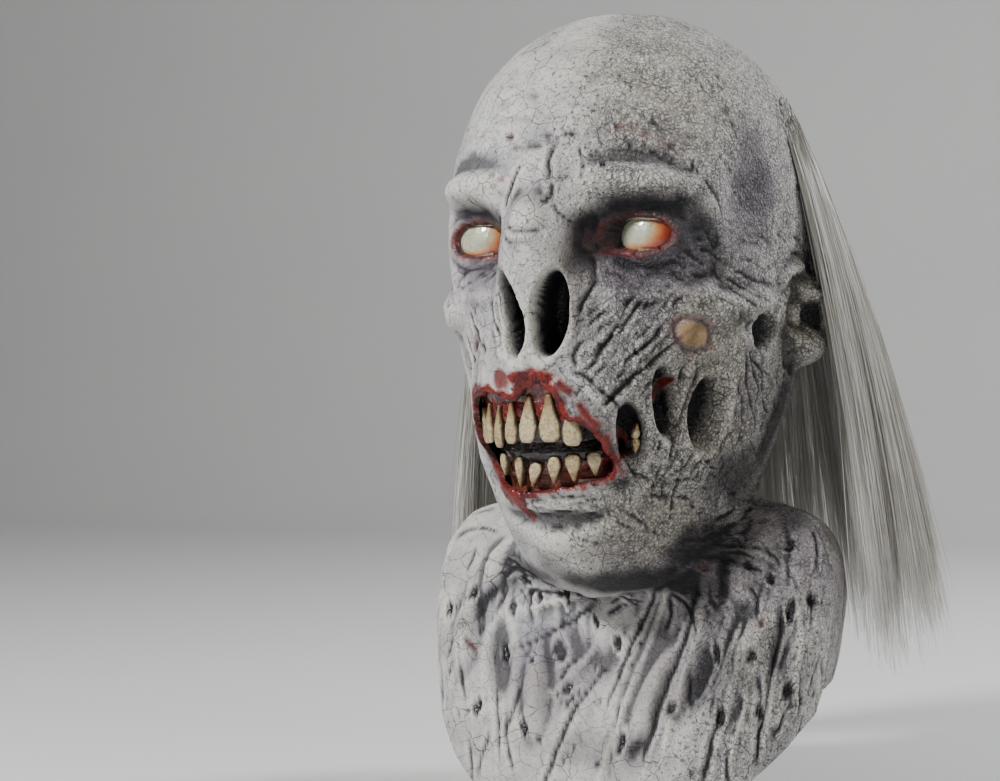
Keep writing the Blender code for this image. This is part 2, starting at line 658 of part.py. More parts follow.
def main():
    clear_scene()
    group = collection("zombie_mask")
    cutters = collection("cutters")
    material("latex", (0.5, 0.5, 0.5), 0.6)
    make_skin(group, cutters)
    make_eyes(group)
    make_lining(group)
    make_teeth(group)
    hair_mat = material("ash_hair", (0.55, 0.53, 0.48), 0.5)
    make_hair("hair_left", LEFT_LOCKS, hair_mat, group, cutters)
    make_hair("hair_right", RIGHT_LOCKS, hair_mat, group, cutters)
    make_hair("hair_back", BACK_LOCKS, hair_mat, group, cutters)


main()
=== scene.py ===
"""Zombie mask, dressed: sculpted latex skin, glazed eyes, stained teeth and hair.

Metres, +Z up. The mask faces -Y, and +X is the mask's own left side.
"""
import math

import bpy
import numpy as np
from mathutils import Matrix, Vector, noise


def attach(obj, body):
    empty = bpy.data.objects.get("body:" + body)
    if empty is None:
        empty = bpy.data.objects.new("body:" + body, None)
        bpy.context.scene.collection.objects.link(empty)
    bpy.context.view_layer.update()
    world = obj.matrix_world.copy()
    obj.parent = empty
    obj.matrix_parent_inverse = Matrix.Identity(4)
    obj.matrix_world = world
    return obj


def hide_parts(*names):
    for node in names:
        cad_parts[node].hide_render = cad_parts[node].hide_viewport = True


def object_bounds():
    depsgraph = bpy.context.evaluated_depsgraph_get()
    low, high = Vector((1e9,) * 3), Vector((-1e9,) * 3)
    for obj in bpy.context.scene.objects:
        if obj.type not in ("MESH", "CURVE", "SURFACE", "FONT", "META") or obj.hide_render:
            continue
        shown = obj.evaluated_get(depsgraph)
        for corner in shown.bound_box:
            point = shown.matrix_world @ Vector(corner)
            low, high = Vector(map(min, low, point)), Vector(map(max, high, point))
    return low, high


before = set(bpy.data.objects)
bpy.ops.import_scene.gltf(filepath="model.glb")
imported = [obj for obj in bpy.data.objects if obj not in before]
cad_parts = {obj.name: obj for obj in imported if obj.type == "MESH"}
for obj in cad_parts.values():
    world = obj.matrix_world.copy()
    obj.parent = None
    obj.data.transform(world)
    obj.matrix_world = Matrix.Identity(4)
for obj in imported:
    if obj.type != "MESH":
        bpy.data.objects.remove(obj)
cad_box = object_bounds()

MM = 0.001

# Sizes of the latex head, as in the solids
HEAD_HEIGHT = 0.300
HEAD_WIDTH = 0.182
FACE_DEPTH = 0.112
BACK_DEPTH = 0.121
BIB_WIDTH = 0.224
BIB_DROP = 0.118
BIB_FRONT = 0.086
BIB_BACK = 0.107
HEM_SKEW = 0.010
WALL = 0.0025
SEAT_GAP = 0.0005
EYE_DIAMETER = 0.042
EYE_SPACING = 0.089
EYE_SETBACK = 0.063
EYE_DROP = 0.120
LID_WIDTH = 0.036
LID_HEIGHT = 0.0195
LID_PLAY = 0.0018
TOOTH_DEPTH = 0.0050
LOWER_FORWARD = 0.0009
LINING_WALL = 0.0020
MOUTH_DEPTH = 0.0060
HAIR_REACH = 0.134
HAIR_FALL = 0.352
FRONT_ROUNDNESS = 2.15
BACK_ROUNDNESS = 2.1
FORM_REACH = 0.25
WINDOW_LIFT = 0.85

# Sections of the head and the bib, as in the solids
HEAD_SECTIONS = (
    (0.00, 0.000, 0.00, 0.00, 0.000, 0.00, 0.000),
    (0.26, 0.012, 0.29, 0.04, 0.012, 0.29, 0.016),
    (0.51, 0.054, 0.58, 0.07, 0.058, 0.58, 0.063),
    (0.75, 0.124, 0.80, 0.11, 0.132, 0.80, 0.140),
    (0.90, 0.220, 0.94, 0.13, 0.233, 0.95, 0.240),
    (0.98, 0.320, 1.00, 0.14, 0.343, 1.00, 0.360),
    (1.00, 0.407, 1.00, 0.13, 0.447, 0.97, 0.473),
    (0.965, 0.493, 0.965, 0.11, 0.540, 0.87, 0.580),
    (0.965, 0.580, 0.92, 0.08, 0.620, 0.75, 0.673),
    (0.99, 0.667, 0.86, 0.05, 0.687, 0.67, 0.747),
    (0.99, 0.740, 0.79, 0.04, 0.740, 0.62, 0.807),
    (0.92, 0.820, 0.725, 0.05, 0.783, 0.60, 0.853),
    (0.82, 0.900, 0.68, 0.07, 0.813, 0.60, 0.890),
    (0.69, 0.965, 0.67, 0.10, 0.833, 0.61, 0.920),
    (0.50, 1.000, 0.74, 0.12, 0.850, 0.645, 0.947),
)
BIB_SECTIONS = (
    (0.47, 0.02, 0.75, 0.10, -0.35, 0.79, -0.08),
    (0.42, 0.10, 0.90, 0.05, -0.28, 0.86, -0.02),
    (0.51, 0.28, 0.98, -0.02, -0.14, 0.92, 0.04),
    (0.70, 0.50, 1.00, -0.06, 0.07, 0.95, 0.13),
    (0.88, 0.76, 0.97, -0.08, 0.29, 0.98, 0.21),
    (1.00, 1.00, 0.93, -0.08, 0.44, 1.00, 0.29),
)
# Raised and sunk forms, as in the solids: sides, around, down, half width,
# half height, tilt, push, flat
FORMS = (
    ("both", 20, 0.190, 0.200, 0.170, 0, 0.010, 0.2),
    ("both", 30, 0.243, 0.210, 0.060, -4, 0.036, 0.2),
    ("one", 0, 0.235, 0.100, 0.100, 0, 0.018, 0.2),
    ("both", 27, 0.296, 0.195, 0.160, 4, -0.100, 0.15),
    ("both", 66, 0.250, 0.150, 0.200, 0, -0.030, 0.1),
    ("one", 0, 0.335, 0.170, 0.300, 0, 0.085, 0.1),
    ("one", 0, 0.278, 0.065, 0.090, 0, 0.020, 0.2),
    ("both", 50, 0.352, 0.170, 0.085, -6, 0.034, 0.2),
    ("both", 68, 0.340, 0.150, 0.055, 0, 0.022, 0.3),
    ("both", 50, 0.440, 0.160, 0.200, 0, -0.040, 0.2),
    ("one", 0, 0.450, 0.300, 0.240, 0, 0.052, 0.35),
    ("both", 33, 0.530, 0.080, 0.100, 0, -0.020, 0.2),
    ("one", 0, 0.580, 0.200, 0.045, 0, -0.020, 0.3),
    ("one", 0, 0.625, 0.150, 0.100, 0, 0.010, 0.3),
    ("both", 5.5, 0.368, 0.046, 0.140, -7, -0.130, 0.55),
    ("left", 34, 0.488, 0.055, 0.105, 12, -0.075, 0.5),
    ("left", 46, 0.452, 0.055, 0.125, 10, -0.065, 0.5),
    ("left", 62, 0.463, 0.068, 0.120, -6, -0.105, 0.6),
    ("right", 39, 0.423, 0.055, 0.085, 0, -0.070, 0.5),
    ("both", 93, 0.352, 0.105, 0.155, 0, 0.075, 0.55),
    ("both", 88, 0.345, 0.050, 0.080, 0, -0.055, 0.4),
    ("both", 75, 0.366, 0.050, 0.070, 0, -0.045, 0.3),
    ("both", 44, 0.790, 0.050, 0.110, 16, 0.026, 0.2),
    ("one", 0, 0.820, 0.060, 0.110, 0, 0.020, 0.2),
    ("left", 16, 0.885, 0.050, 0.190, -12, 0.036, 0.2),
    ("left", 28, 0.880, 0.045, 0.170, -12, -0.030, 0.2),
    ("left", 41, 0.880, 0.055, 0.180, -10, 0.034, 0.2),
    ("left", 57, 0.880, 0.055, 0.150, -8, -0.028, 0.2),
    ("right", 15, 0.890, 0.050, 0.180, -10, 0.034, 0.2),
    ("right", 29, 0.880, 0.050, 0.160, -12, -0.028, 0.2),
    ("right", 45, 0.880, 0.055, 0.150, -8, 0.030, 0.2),
)
MOUTH_EDGE = (
    (-0.395, 0.662), (-0.250, 0.652), (-0.160, 0.660), (-0.099, 0.667),
    (-0.035, 0.651), (0.049, 0.639), (0.113, 0.647), (0.172, 0.668),
    (0.214, 0.695), (0.296, 0.706), (0.353, 0.739), (0.362, 0.776),
    (0.326, 0.796), (0.260, 0.802), (0.172, 0.808), (0.056, 0.815),
    (-0.078, 0.819), (-0.195, 0.820), (-0.290, 0.808), (-0.370, 0.790),
    (-0.415, 0.760), (-0.425, 0.700),
)
UPPER_TEETH = (
    (-26.5, 0.477, 0.034, 0.100, 0),
    (-19.0, 0.474, 0.033, 0.108, 3),
    (-13.2, 0.478, 0.034, 0.115, 4),
    (-7.6, 0.474, 0.042, 0.112, 2),
    (-1.6, 0.470, 0.056, 0.126, 3),
    (5.4, 0.469, 0.063, 0.126, -2),
    (13.0, 0.476, 0.056, 0.112, -2),
)
LOWER_TEETH = (
    (-27.6, 0.529, 0.024, 0.044, 8),
    (-21.5, 0.525, 0.031, 0.062, 12),
    (-12.3, 0.532, 0.031, 0.086, 12),
    (-4.3, 0.534, 0.038, 0.070, 24),
    (4.3, 0.528, 0.039, 0.074, 8),
    (12.2, 0.526, 0.044, 0.074, 0),
    (20.8, 0.523, 0.042, 0.062, -4),
)
WINDOW_TEETH = (
    (36.8, 0.487, 0.026, 0.042, 0),
    (37.6, 0.507, 0.026, 0.040, 0),
)
LINING_PROFILE = (
    (0.405, 0.0, 0.0), (0.430, 0.1, 0.0), (0.450, 1.0, 0.0), (0.475, 1.0, 0.0),
    (0.498, 1.0, 1.0), (0.512, 1.0, 0.0), (0.555, 1.0, 0.0), (0.575, 0.1, 0.0),
    (0.600, 0.0, 0.0),
)
LINING_LEFT = 42
LINING_RIGHT = -46
LINING_EASE = 0.22
LEFT_LOCKS = (
    (96, 0.92, 0.24, 0.985, 0.08), (104, 0.98, 0.44, 1.000, 0.10),
    (112, 1.00, 0.66, 0.975, 0.09), (119, 1.00, 0.78, 0.940, 0.08),
    (126, 0.93, 0.92, 0.965, 0.07),
)
RIGHT_LOCKS = (
    (-96, -0.90, 0.22, 0.960, 0.09), (-104, -0.94, 0.40, 0.985, 0.10),
    (-112, -0.96, 0.60, 1.000, 0.09), (-119, -0.94, 0.76, 0.970, 0.08),
    (-126, -0.89, 0.90, 0.960, 0.07),
)
BACK_LOCKS = (
    (143, 0.60, 1.07, 0.970, 0.04), (152, 0.42, 1.10, 0.990, 0.04),
    (162, 0.24, 1.13, 0.965, 0.04), (174, 0.10, 1.14, 0.985, 0.04),
    (186, -0.05, 1.14, 0.960, 0.04), (198, -0.24, 1.12, 0.985, 0.04),
    (210, -0.46, 1.10, 0.970, 0.04), (217, -0.60, 1.07, 0.980, 0.04),
)
STRIP_TOP = 0.180
STRIP_LOW = 0.235

# Fine relief. Lines run on the surface from one place to another; bow is a
# share of their length, width and height are in mm, and a groove's height is
# below zero. Columns: around, down, around, down, bow, width, height, dark, blood
LINES = (
    # forehead
    (25, .200, 44, .223, -.06, .9, -1.0, .85, .5),
    (44, .223, 57, .268, -.08, .8, -.9, .85, .1),
    (-10, .214, 4, .212, .05, .9, -.9, .75, .3),
    (4, .212, 18, .206, -.08, .9, -.9, .75, 0),
    (18, .206, 20, .219, .1, .8, -.8, .7, 0),
    (11, .194, 4, .212, -.1, .8, -.7, .6, 0),
    (4, .214, 5, .246, .04, 1.3, -1.5, .6, 0),
    (5, .246, 2, .268, -.2, 1.1, -1.3, .7, 0),
    (-2, .228, -8, .270, .12, 1.2, -1.3, .6, 0),
    (12, .216, 14, .247, -.1, 1.0, -.8, .4, 0),
    (5, .148, 27, .152, .12, 1.4, -.6, .35, 0),
    (2, .176, 28, .180, .10, 1.4, -.7, .35, 0),
    (-24, .172, 0, .166, .10, 1.4, -.7, .3, 0),
    (-22, .190, 2, .184, .10, 1.3, -.6, .3, 0),
    (-28, .208, -13, .202, .10, 1.2, -.6, .3, 0),
    (28, .186, 52, .206, .10, 1.0, -.8, .6, 0),
    (30, .210, 50, .234, .10, .9, -.7, .6, 0),
    (52, .206, 66, .236, .06, .8, -.7, .6, 0),
    # bridge of the nose
    (-6, .284, 6, .286, .20, 1.1, -1.1, .7, 0),
    (7, .268, 12, .284, .10, 1.0, -1.0, .7, 0),
    (-7, .294, 5, .296, .16, .9, -.8, .5, 0),
    # nose to cheek
    (17, .410, 24, .384, .05, 1.4, -1.8, .9, 0),
    (24, .384, 32, .350, .05, 1.2, -1.6, .9, 0),
    (28, .412, 39, .371, .06, 1.2, -1.6, .9, 0),
    (21, .456, 32, .424, .04, 1.5, -2.0, .9, 0),
    (32, .424, 44, .387, .06, 1.2, -1.6, .9, 0),
    (13, .372, 20, .335, -.12, 1.2, -1.2, .6, 0),
    (21, .392, 29, .348, .05, 1.0, -1.1, .8, 0),
    (25, .436, 41, .396, .05, 1.0, -1.2, .8, 0),
    (36, .436, 46, .404, .05, 1.0, -1.1, .8, 0),
    (11, .425, 20, .436, -.10, 1.1, -1.2, .7, 0),
    (20, .436, 30, .470, -.10, 1.2, -1.6, .9, 0),
    (16, .392, 13, .425, .20, 1.2, -1.1, .6, 0),
    (30, .392, 34, .412, .10, .9, -.9, .7, 0),
    # round the near eye and its cheek
    (20, .306, 50, .308, -.14, 1.0, -1.2, .8, .2),
    (20, .314, 52, .316, -.18, 1.0, -1.1, .8, 0),
    (22, .322, 50, .326, -.16, 1.0, -1.0, .8, 0),
    (26, .330, 46, .333, -.12, .9, -.9, .7, 0),
    (48, .300, 58, .316, -.15, 1.0, -1.0, .8, 0),
    (56, .318, 76, .338, .05, .9, -1.0, .8, 0),
    (56, .308, 78, .322, .05, .9, -.9, .8, 0),
    (56, .298, 79, .303, .05, .8, -.8, .8, 0),
    (55, .288, 74, .284, .05, .8, -.7, .7, 0),
    (54, .330, 72, .350, -.05, .9, -.9, .7, 0),
    (50, .338, 66, .358, -.05, .9, -.8, .7, 0),
    (18, .268, 46, .268, .22, 1.4, -1.2, .5, 0),
    (36, .276, 53, .290, .16, 1.2, -1.1, .5, 0),
    (12, .300, 17, .345, -.14, 1.6, -1.4, .5, 0),
    # round the far eye
    (-42, .318, -14, .314, -.18, 1.0, -1.0, .6, 0),
    (-41, .328, -15, .324, -.18, 1.1, -1.0, .6, 0),
    (-39, .338, -17, .336, -.14, 1.0, -.8, .5, 0),
    (-40, .270, -16, .270, .20, 1.4, -1.1, .5, 0),
    (-17, .352, -13, .388, .10, 1.3, -1.1, .5, 0),
    (-31, .356, -19, .404, .10, 1.3, -1.1, .5, 0),
    (-36, .376, -28, .412, .10, 1.1, -.9, .5, 0),
    (-26, .372, -24, .420, -.10, 1.2, 1.0, 0, 0),
    # tendons that fan up from the corner of the jaw
    (40, .535, 40, .452, -.04, 2.0, 1.8, 0, 0),
    (43, .528, 46, .500, -.04, 1.6, 1.4, 0, 0),
    (44, .540, 52, .400, .05, 2.0, 2.0, 0, 0),
    (47, .540, 55, .404, .05, 1.0, -1.4, .9, 0),
    (41, .540, 50, .404, .03, 1.0, -1.3, .9, 0),
    (48, .546, 56, .498, .03, 1.3, 1.0, 0, 0),
    (52, .548, 60, .505, .03, .9, -.9, .8, 0),
    (56, .552, 67, .500, .03, .9, -.8, .7, 0),
    (60, .556, 73, .490, .03, .9, -.8, .7, 0),
    (38, .545, 29, .470, -.04, 1.1, -1.5, .9, 0),
    (42, .550, 34, .530, .05, 1.0, -1.1, .9, 0),
    (71, .392, 82, .412, .10, 1.0, -.9, .7, 0),
    (70, .384, 82, .436, .08, .9, -.9, .7, 0),
    (69, .386, 80, .458, .08, .9, -.9, .7, 0),
    (73, .380, 88, .440, .08, 1.1, 1.0, 0, 0),
    (72, .400, 78, .482, .08, .9, -.9, .7, 0),
    (76, .386, 90, .470, .08, .9, -.9, .7, 0),
    (68, .420, 72, .490, .05, 1.2, 1.0, 0, 0),
    # jaw
    (44, .552, 70, .532, -.10, 1.0, -.9, .7, 0),
    (38, .560, 62, .560, -.10, 1.0, -1.0, .8, 0),
    (34, .566, 58, .590, -.10, .9, -.9, .7, 0),
    (28, .572, 40, .612, -.08, .9, -.9, .8, 0),
    (20, .580, 34, .606, -.08, .9, -.8, .6, 0),
    (46, .520, 42, .590, .06, .9, -.8, .6, 0),
    (54, .540, 50, .600, .06, .9, -.8, .6, 0),
    # chin
    (-16, .564, 24, .562, -.06, 1.3, -1.5, .8, 0),
    (-14, .573, 26, .572, -.08, 1.2, -1.2, .7, 0),
    (-12, .581, 24, .582, -.10, 1.1, -1.0, .6, 0),
    (-6, .592, 16, .594, -.10, 1.0, -.7, .5, 0),
    (-8, .556, -5, .580, .10, .9, -1.0, .8, 0),
    (6, .590, 22, .612, .05, .9, -.8, .6, 0),
    # torn strip of the upper lip
    (7, .430, 14, .445, .04, 2.0, 1.4, 0, 1),
    (14, .445, 24, .480, .10, 2.0, 1.5, 0, 1),
    (24, .480, 30, .520, .10, 2.0, 1.5, 0, 1),
    (29, .522, 33, .538, .10, 2.0, 1.4, .1, .8),
    (17, .433, 27, .462, .10, 1.8, 1.3, 0, 0),
    (27, .462, 34, .512, .10, 1.8, 1.3, 0, 0),
    # front of the nose
    (-1.5, .340, 0, .448, .03, 1.5, 1.8, 0, 0),
    (-12.5, .340, -13.2, .398, .12, 1.5, 1.5, 0, 0),
    (9.0, .350, 9.8, .400, -.10, 1.5, 1.6, 0, 0),
    (9.8, .398, 2.5, .412, -.25, 1.5, 1.4, 0, 0),
    (-13.0, .398, -4.0, .408, .22, 1.5, 1.2, 0, 0),
    (-6, .428, -9, .452, .10, 1.2, 1.0, 0, .2),
    (-3, .424, -4, .445, .10, 1.0, -1.0, .4, .8),
    (3, .424, 4, .450, .10, 1.0, -1.0, .4, .9),
    # ears
    (80, .322, 91, .303, -.20, 3.0, 3.4, 0, 0),
    (91, .303, 105, .328, -.20, 3.0, 3.4, 0, 0),
    (105, .328, 100, .376, -.14, 2.6, 2.6, 0, 0),
    (82, .330, 80, .372, .10, 2.0, 2.0, 0, 0),
    (88, .318, 98, .334, -.14, 1.6, -1.6, .9, 0),
    (98, .334, 95, .366, -.10, 1.5, -1.4, .8, 0),
    (-80, .322, -91, .303, .20, 3.0, 3.4, 0, 0),
    (-91, .303, -105, .328, .20, 3.0, 3.4, 0, 0),
    (-105, .328, -100, .376, .14, 2.6, 2.6, 0, 0),
    (-82, .330, -80, .372, -.10, 2.0, 2.0, 0, 0),
    # drapes of the bib
    (52, .700, 60, .800, .05, 1.6, 1.4, 0, 0),
    (46, .710, 52, .800, .05, 1.4, -1.4, .8, 0),
    (34, .760, 22, .950, .04, 1.8, 1.6, 0, 0),
    (30, .770, 17, .950, .04, 1.4, -1.6, .7, 0),
    (24, .740, 8, .930, .05, 1.6, 1.3, 0, 0),
    (20, .740, 4, .910, .05, 1.2, -1.3, .6, 0),
    (44, .830, 36, .985, .04, 1.6, -1.8, .8, 0),
    (50, .830, 46, .985, .04, 1.8, 1.6, 0, 0),
    (57, .830, 56, .990, .04, 1.4, -1.6, .8, 0),
    (66, .800, 70, .960, .04, 1.6, 1.3, 0, 0),
    (-4, .745, -30, .800, -.05, 1.3, -1.1, .4, 0),
    (-8, .770, -36, .840, -.05, 1.6, 1.3, 0, 0),
    (-3, .790, -32, .880, -.05, 1.3, -1.2, .4, 0),
    (0, .830, -20, .930, -.05, 1.6, 1.3, 0, 0),
    (-26, .740, -46, .770, .08, 1.2, -1.0, .4, 0),
    (-24, .752, -52, .800, .08, 1.2, -1.0, .4, 0),
    (2, .860, -8, .980, .04, 1.3, -1.4, .5, 0),
    (12, .860, 6, .985, .04, 1.6, 1.4, 0, 0),
)
# Fields of seeded fine creases. Columns: count, (around, around, down, down,
# direction from, direction to), length mm, width mm, depth mm, dark
CREASE_FIELDS = (
    (50, (12, 44, .355, .45, -1.25, -0.75), (5, 14), (.6, .9), (.4, .9), .7),
    (44, (36, 74, .50, .62, -1.5, -0.9), (6, 18), (.6, .9), (.4, .8), .6),
    (26, (36, 74, .50, .62, 0.0, 0.6), (6, 14), (.6, .9), (.4, .8), .6),
    (30, (20, 74, .13, .25, 0.2, 0.9), (8, 20), (.6, .9), (.3, .7), .6),
    (16, (-34, 20, .14, .22, -0.3, 0.3), (10, 24), (.8, 1.2), (.3, .6), .25),
    (24, (-48, -18, .35, .47, 0.6, 1.5), (5, 14), (.7, 1.0), (.3, .7), .4),
    (40, (20, 54, .303, .342, -0.35, 0.35), (4, 11), (.6, .9), (.4, .8), .7),
    (18, (-42, -14, .312, .345, -0.35, 0.35), (4, 11), (.7, .9), (.3, .6), .4),
    (70, (-70, 84, .74, .98, 1.2, 2.2), (10, 34), (.8, 1.5), (.5, 1.2), .4),
    (50, (-70, 84, .74, .98, -0.9, 1.0), (10, 26), (.6, .8), (.3, .6), .7),
    (40, (62, 92, .38, .54, 1.0, 1.5), (8, 22), (.6, .9), (.3, .7), .6),
    (22, (58, 84, .27, .35, -0.2, 0.6), (6, 16), (.6, .9), (.3, .7), .6),
    (46, (100, 260, .25, .60, -0.5, 2.0), (10, 30), (1.2, 1.8), (.4, .8), .5),
    (34, (84, 290, .75, .98, 0.9, 2.2), (14, 40), (1.4, 2.2), (.5, 1.1), .5),
    (14, (38, 70, .66, .75, -0.6, 0.4), (8, 22), (.8, 1.2), (.4, .9), .6),
)

# Pits, wounds and torn places. Sizes in mm.
# Columns: around, down, half width, half height, tilt, push, rim, dark, blood, bone
SPOTS = (
    # forehead and temple
    (-9.5, .207, 2.6, 1.6, 10, -.8, .4, .3, .9, 0),
    (-10.5, .243, 2.2, 1.3, 0, -.5, .3, .1, .7, 0),
    (-14, .238, 1.3, 1.0, 0, -.4, .2, .1, .6, 0),
    (25, .201, 3.2, 1.1, 10, -.9, .4, .4, .8, 0),
    (64, .246, 2.0, 2.0, 0, -.4, .3, .1, .5, 0),
    (20.5, .233, 2.6, 1.2, 35, -1.0, .4, .9, 0, 0),
    (13.5, .240, 1.6, 1.6, 0, -.9, .4, .8, 0, 0),
    (17, .200, 1.0, 1.0, 0, -.5, .3, .5, 0, 0),
    (42, .212, 1.0, 1.0, 0, -.5, .3, .5, 0, 0),
    # bone showing through the cheek
    (48.5, .379, 9.5, 6.0, -32, 1.0, -1.2, 0, 0, 1),
    # far cheek
    (-28, .392, 3.2, 5.0, -20, -.9, .6, .3, .3, 0),
    # bib, near side
    (50, .777, 2.2, 3.4, 20, -1.8, .7, 1, .1, 0),
    (54, .810, 2.6, 2.6, 0, -1.8, .7, 1, 0, 0),
    (68, .790, 3.0, 3.8, -20, -1.9, .8, 1, .1, 0),
    (61, .856, 2.8, 6.5, -12, -1.9, .8, 1, 0, 0),
    (72, .866, 3.0, 4.6, 10, -1.7, .7, .8, 0, 0),
    (40, .735, 3.6, 2.6, -20, -1.5, .5, .8, .6, 0),
    (58, .735, 1.6, 4.6, 20, -1.5, .5, .8, .4, 0),
    (46, .880, 2.4, 5.0, -15, -1.7, .6, .8, 0, 0),
    (33, .862, 2.4, 6.0, 20, -1.7, .6, .7, 0, 0),
    (22, .900, 3.0, 5.0, 0, -1.7, .6, .7, .1, 0),
    (38, .920, 2.6, 6.0, -10, -1.7, .6, .8, 0, 0),
    (52, .930, 2.4, 4.0, 10, -1.7, .6, .8, 0, 0),
    (64, .930, 3.2, 5.4, -20, -1.7, .7, .9, 0, 0),
    (48, .850, 1.8, 4.0, -10, -1.4, .5, .7, .5, 0),
    # bib, front and far side
    (-30, .776, 1.8, 5.0, 62, -1.5, .6, .9, 0, 0),
    (-22, .800, 2.0, 3.2, 30, -1.5, .6, .7, 0, 0),
    (-30, .826, 2.6, 4.6, 24, -1.6, .6, .5, .1, 0),
    (-40, .886, 1.6, 4.0, 50, -1.4, .5, .5, .7, 0),
    (-29, .870, 2.4, 5.0, 26, -1.9, .7, 1, 0, 0),
    (-18, .870, 2.8, 2.4, 0, -1.9, .7, 1, 0, 0),
    (-11, .852, 3.8, 7.0, 25, -1.3, .8, .2, 0, 0),
    (-6.5, .885, 3.2, 2.8, 30, -1.9, .7, 1, .1, 0),
    (4, .838, 2.4, 5.0, 14, -1.5, .7, .5, 0, 0),
    (-2, .815, 2.0, 4.4, 26, -1.4, .6, .5, 0, 0),
    (-14, .765, 2.6, 6.0, 0, -1.4, .7, .4, 0, 0),
    (10, .925, 2.4, 6.4, -6, -1.5, .6, .8, 0, 0),
    (-16, .925, 2.6, 5.0, 12, -1.6, .6, .8, 0, 0),
    (-34, .930, 2.8, 4.4, -12, -1.6, .6, .8, 0, 0),
    (-48, .840, 2.8, 5.0, 12, -1.6, .6, .8, 0, 0),
    (-58, .880, 2.8, 4.4, -12, -1.6, .6, .8, 0, 0),
    # back of the head and of the bib
    (150, .420, 4.0, 3.0, 20, -1.2, .6, .7, .4, 0),
    (205, .520, 3.0, 5.0, 0, -1.2, .6, .7, .3, 0),
    (170, .860, 3.6, 6.0, 10, -1.8, .8, .9, 0, 0),
    (120, .880, 3.4, 5.0, -14, -1.8, .8, .9, 0, 0),
    (222, .850, 3.4, 6.0, 14, -1.8, .8, .9, 0, 0),
    (248, .910, 3.0, 5.0, -8, -1.8, .8, .9, 0, 0),
)

# Soft raised and sunk forms, sizes in mm: rims of the sockets, pouches below
# the eyes, hollows of the cheeks and drapes of the bib.
# Columns: around, down, half width, half height, tilt, height, flat
SOFT_FORMS = (
    (34, .324, 24, 8, 0, -2.6, .3), (-24, .322, 20, 7, 0, -2.0, .3),
    (34, .345, 26, 5.5, 0, 2.2, .2), (50, .336, 14, 6, 24, 2.0, .2),
    (57, .304, 6, 15, 0, 2.4, .2), (-26, .345, 22, 5.5, 0, 1.8, .2),
    (-42, .322, 6, 12, 0, 1.6, .2), (34, .252, 30, 6, 3, 2.4, .2),
    (-26, .254, 26, 6, -3, 2.0, .2), (52, .266, 9, 10, 30, 1.8, .2),
    (16, .283, 6, 12, -14, -3.0, .2), (-12, .287, 6, 12, 14, -2.4, .2),
    (48.5, .379, 13, 9, -32, 1.6, .2), (24, .395, 16, 14, -30, -1.6, .2),
    (39, .400, 12, 10, -30, -1.2, .2), (70, .365, 9, 6, 0, -1.8, .2),
    (93, .372, 7, 8, 0, 2.4, .3), (-93, .372, 7, 8, 0, 2.4, .3),
    (91, .344, 6, 13, 6, -3.2, .4), (-91, .344, 6, 13, -6, -3.2, .4),
    (6, .830, 9, 34, 12, 2.2, .2), (-10, .820, 8, 30, 20, -1.8, .2),
    (30, .800, 8, 28, -12, 2.0, .2), (62, .760, 10, 22, -10, 2.2, .2),
    (-44, .780, 14, 14, 20, 2.0, .2), (46, .760, 8, 20, -16, -2.0, .2),
    (0, .600, 24, 10, 0, 1.4, .2), (30, .535, 7, 7, 0, 1.6, .2),
)

# Deep holes that are painted black, sizes as shares of HEAD_WIDTH.
# Columns: sides, around, down, half width, half height, tilt
CAVES = (
    ("both", 5.5, .368, .046, .140, -7), ("left", 62, .463, .060, .110, -6),
    ("left", 34, .488, .050, .098, 12), ("left", 46, .452, .046, .115, 10),
    ("right", 39, .423, .046, .075, 0), ("both", 91, .345, .022, .050, 6),
    ("both", 75, .366, .028, .040, 0),
)

# How wide the raw flesh is round the torn mouth, in mm, against the sideways
# share of half HEAD_WIDTH. Columns: sideways share, upper edge, lower edge
MOUTH_FLESH = (
    (-0.45, 1.6, 1.6), (-0.40, 2.6, 2.0), (-0.28, 3.6, 4.6), (-0.20, 2.0, 7.0),
    (-0.12, 3.0, 3.0), (-0.04, 6.4, 1.8), (0.06, 6.2, 2.0), (0.12, 3.4, 1.6),
    (0.20, 2.6, 1.8), (0.30, 2.8, 2.2), (0.37, 2.4, 1.4),
)
MOUTH_MIDDLE = 0.745      # share of HEAD_HEIGHT down to the line between the jaws

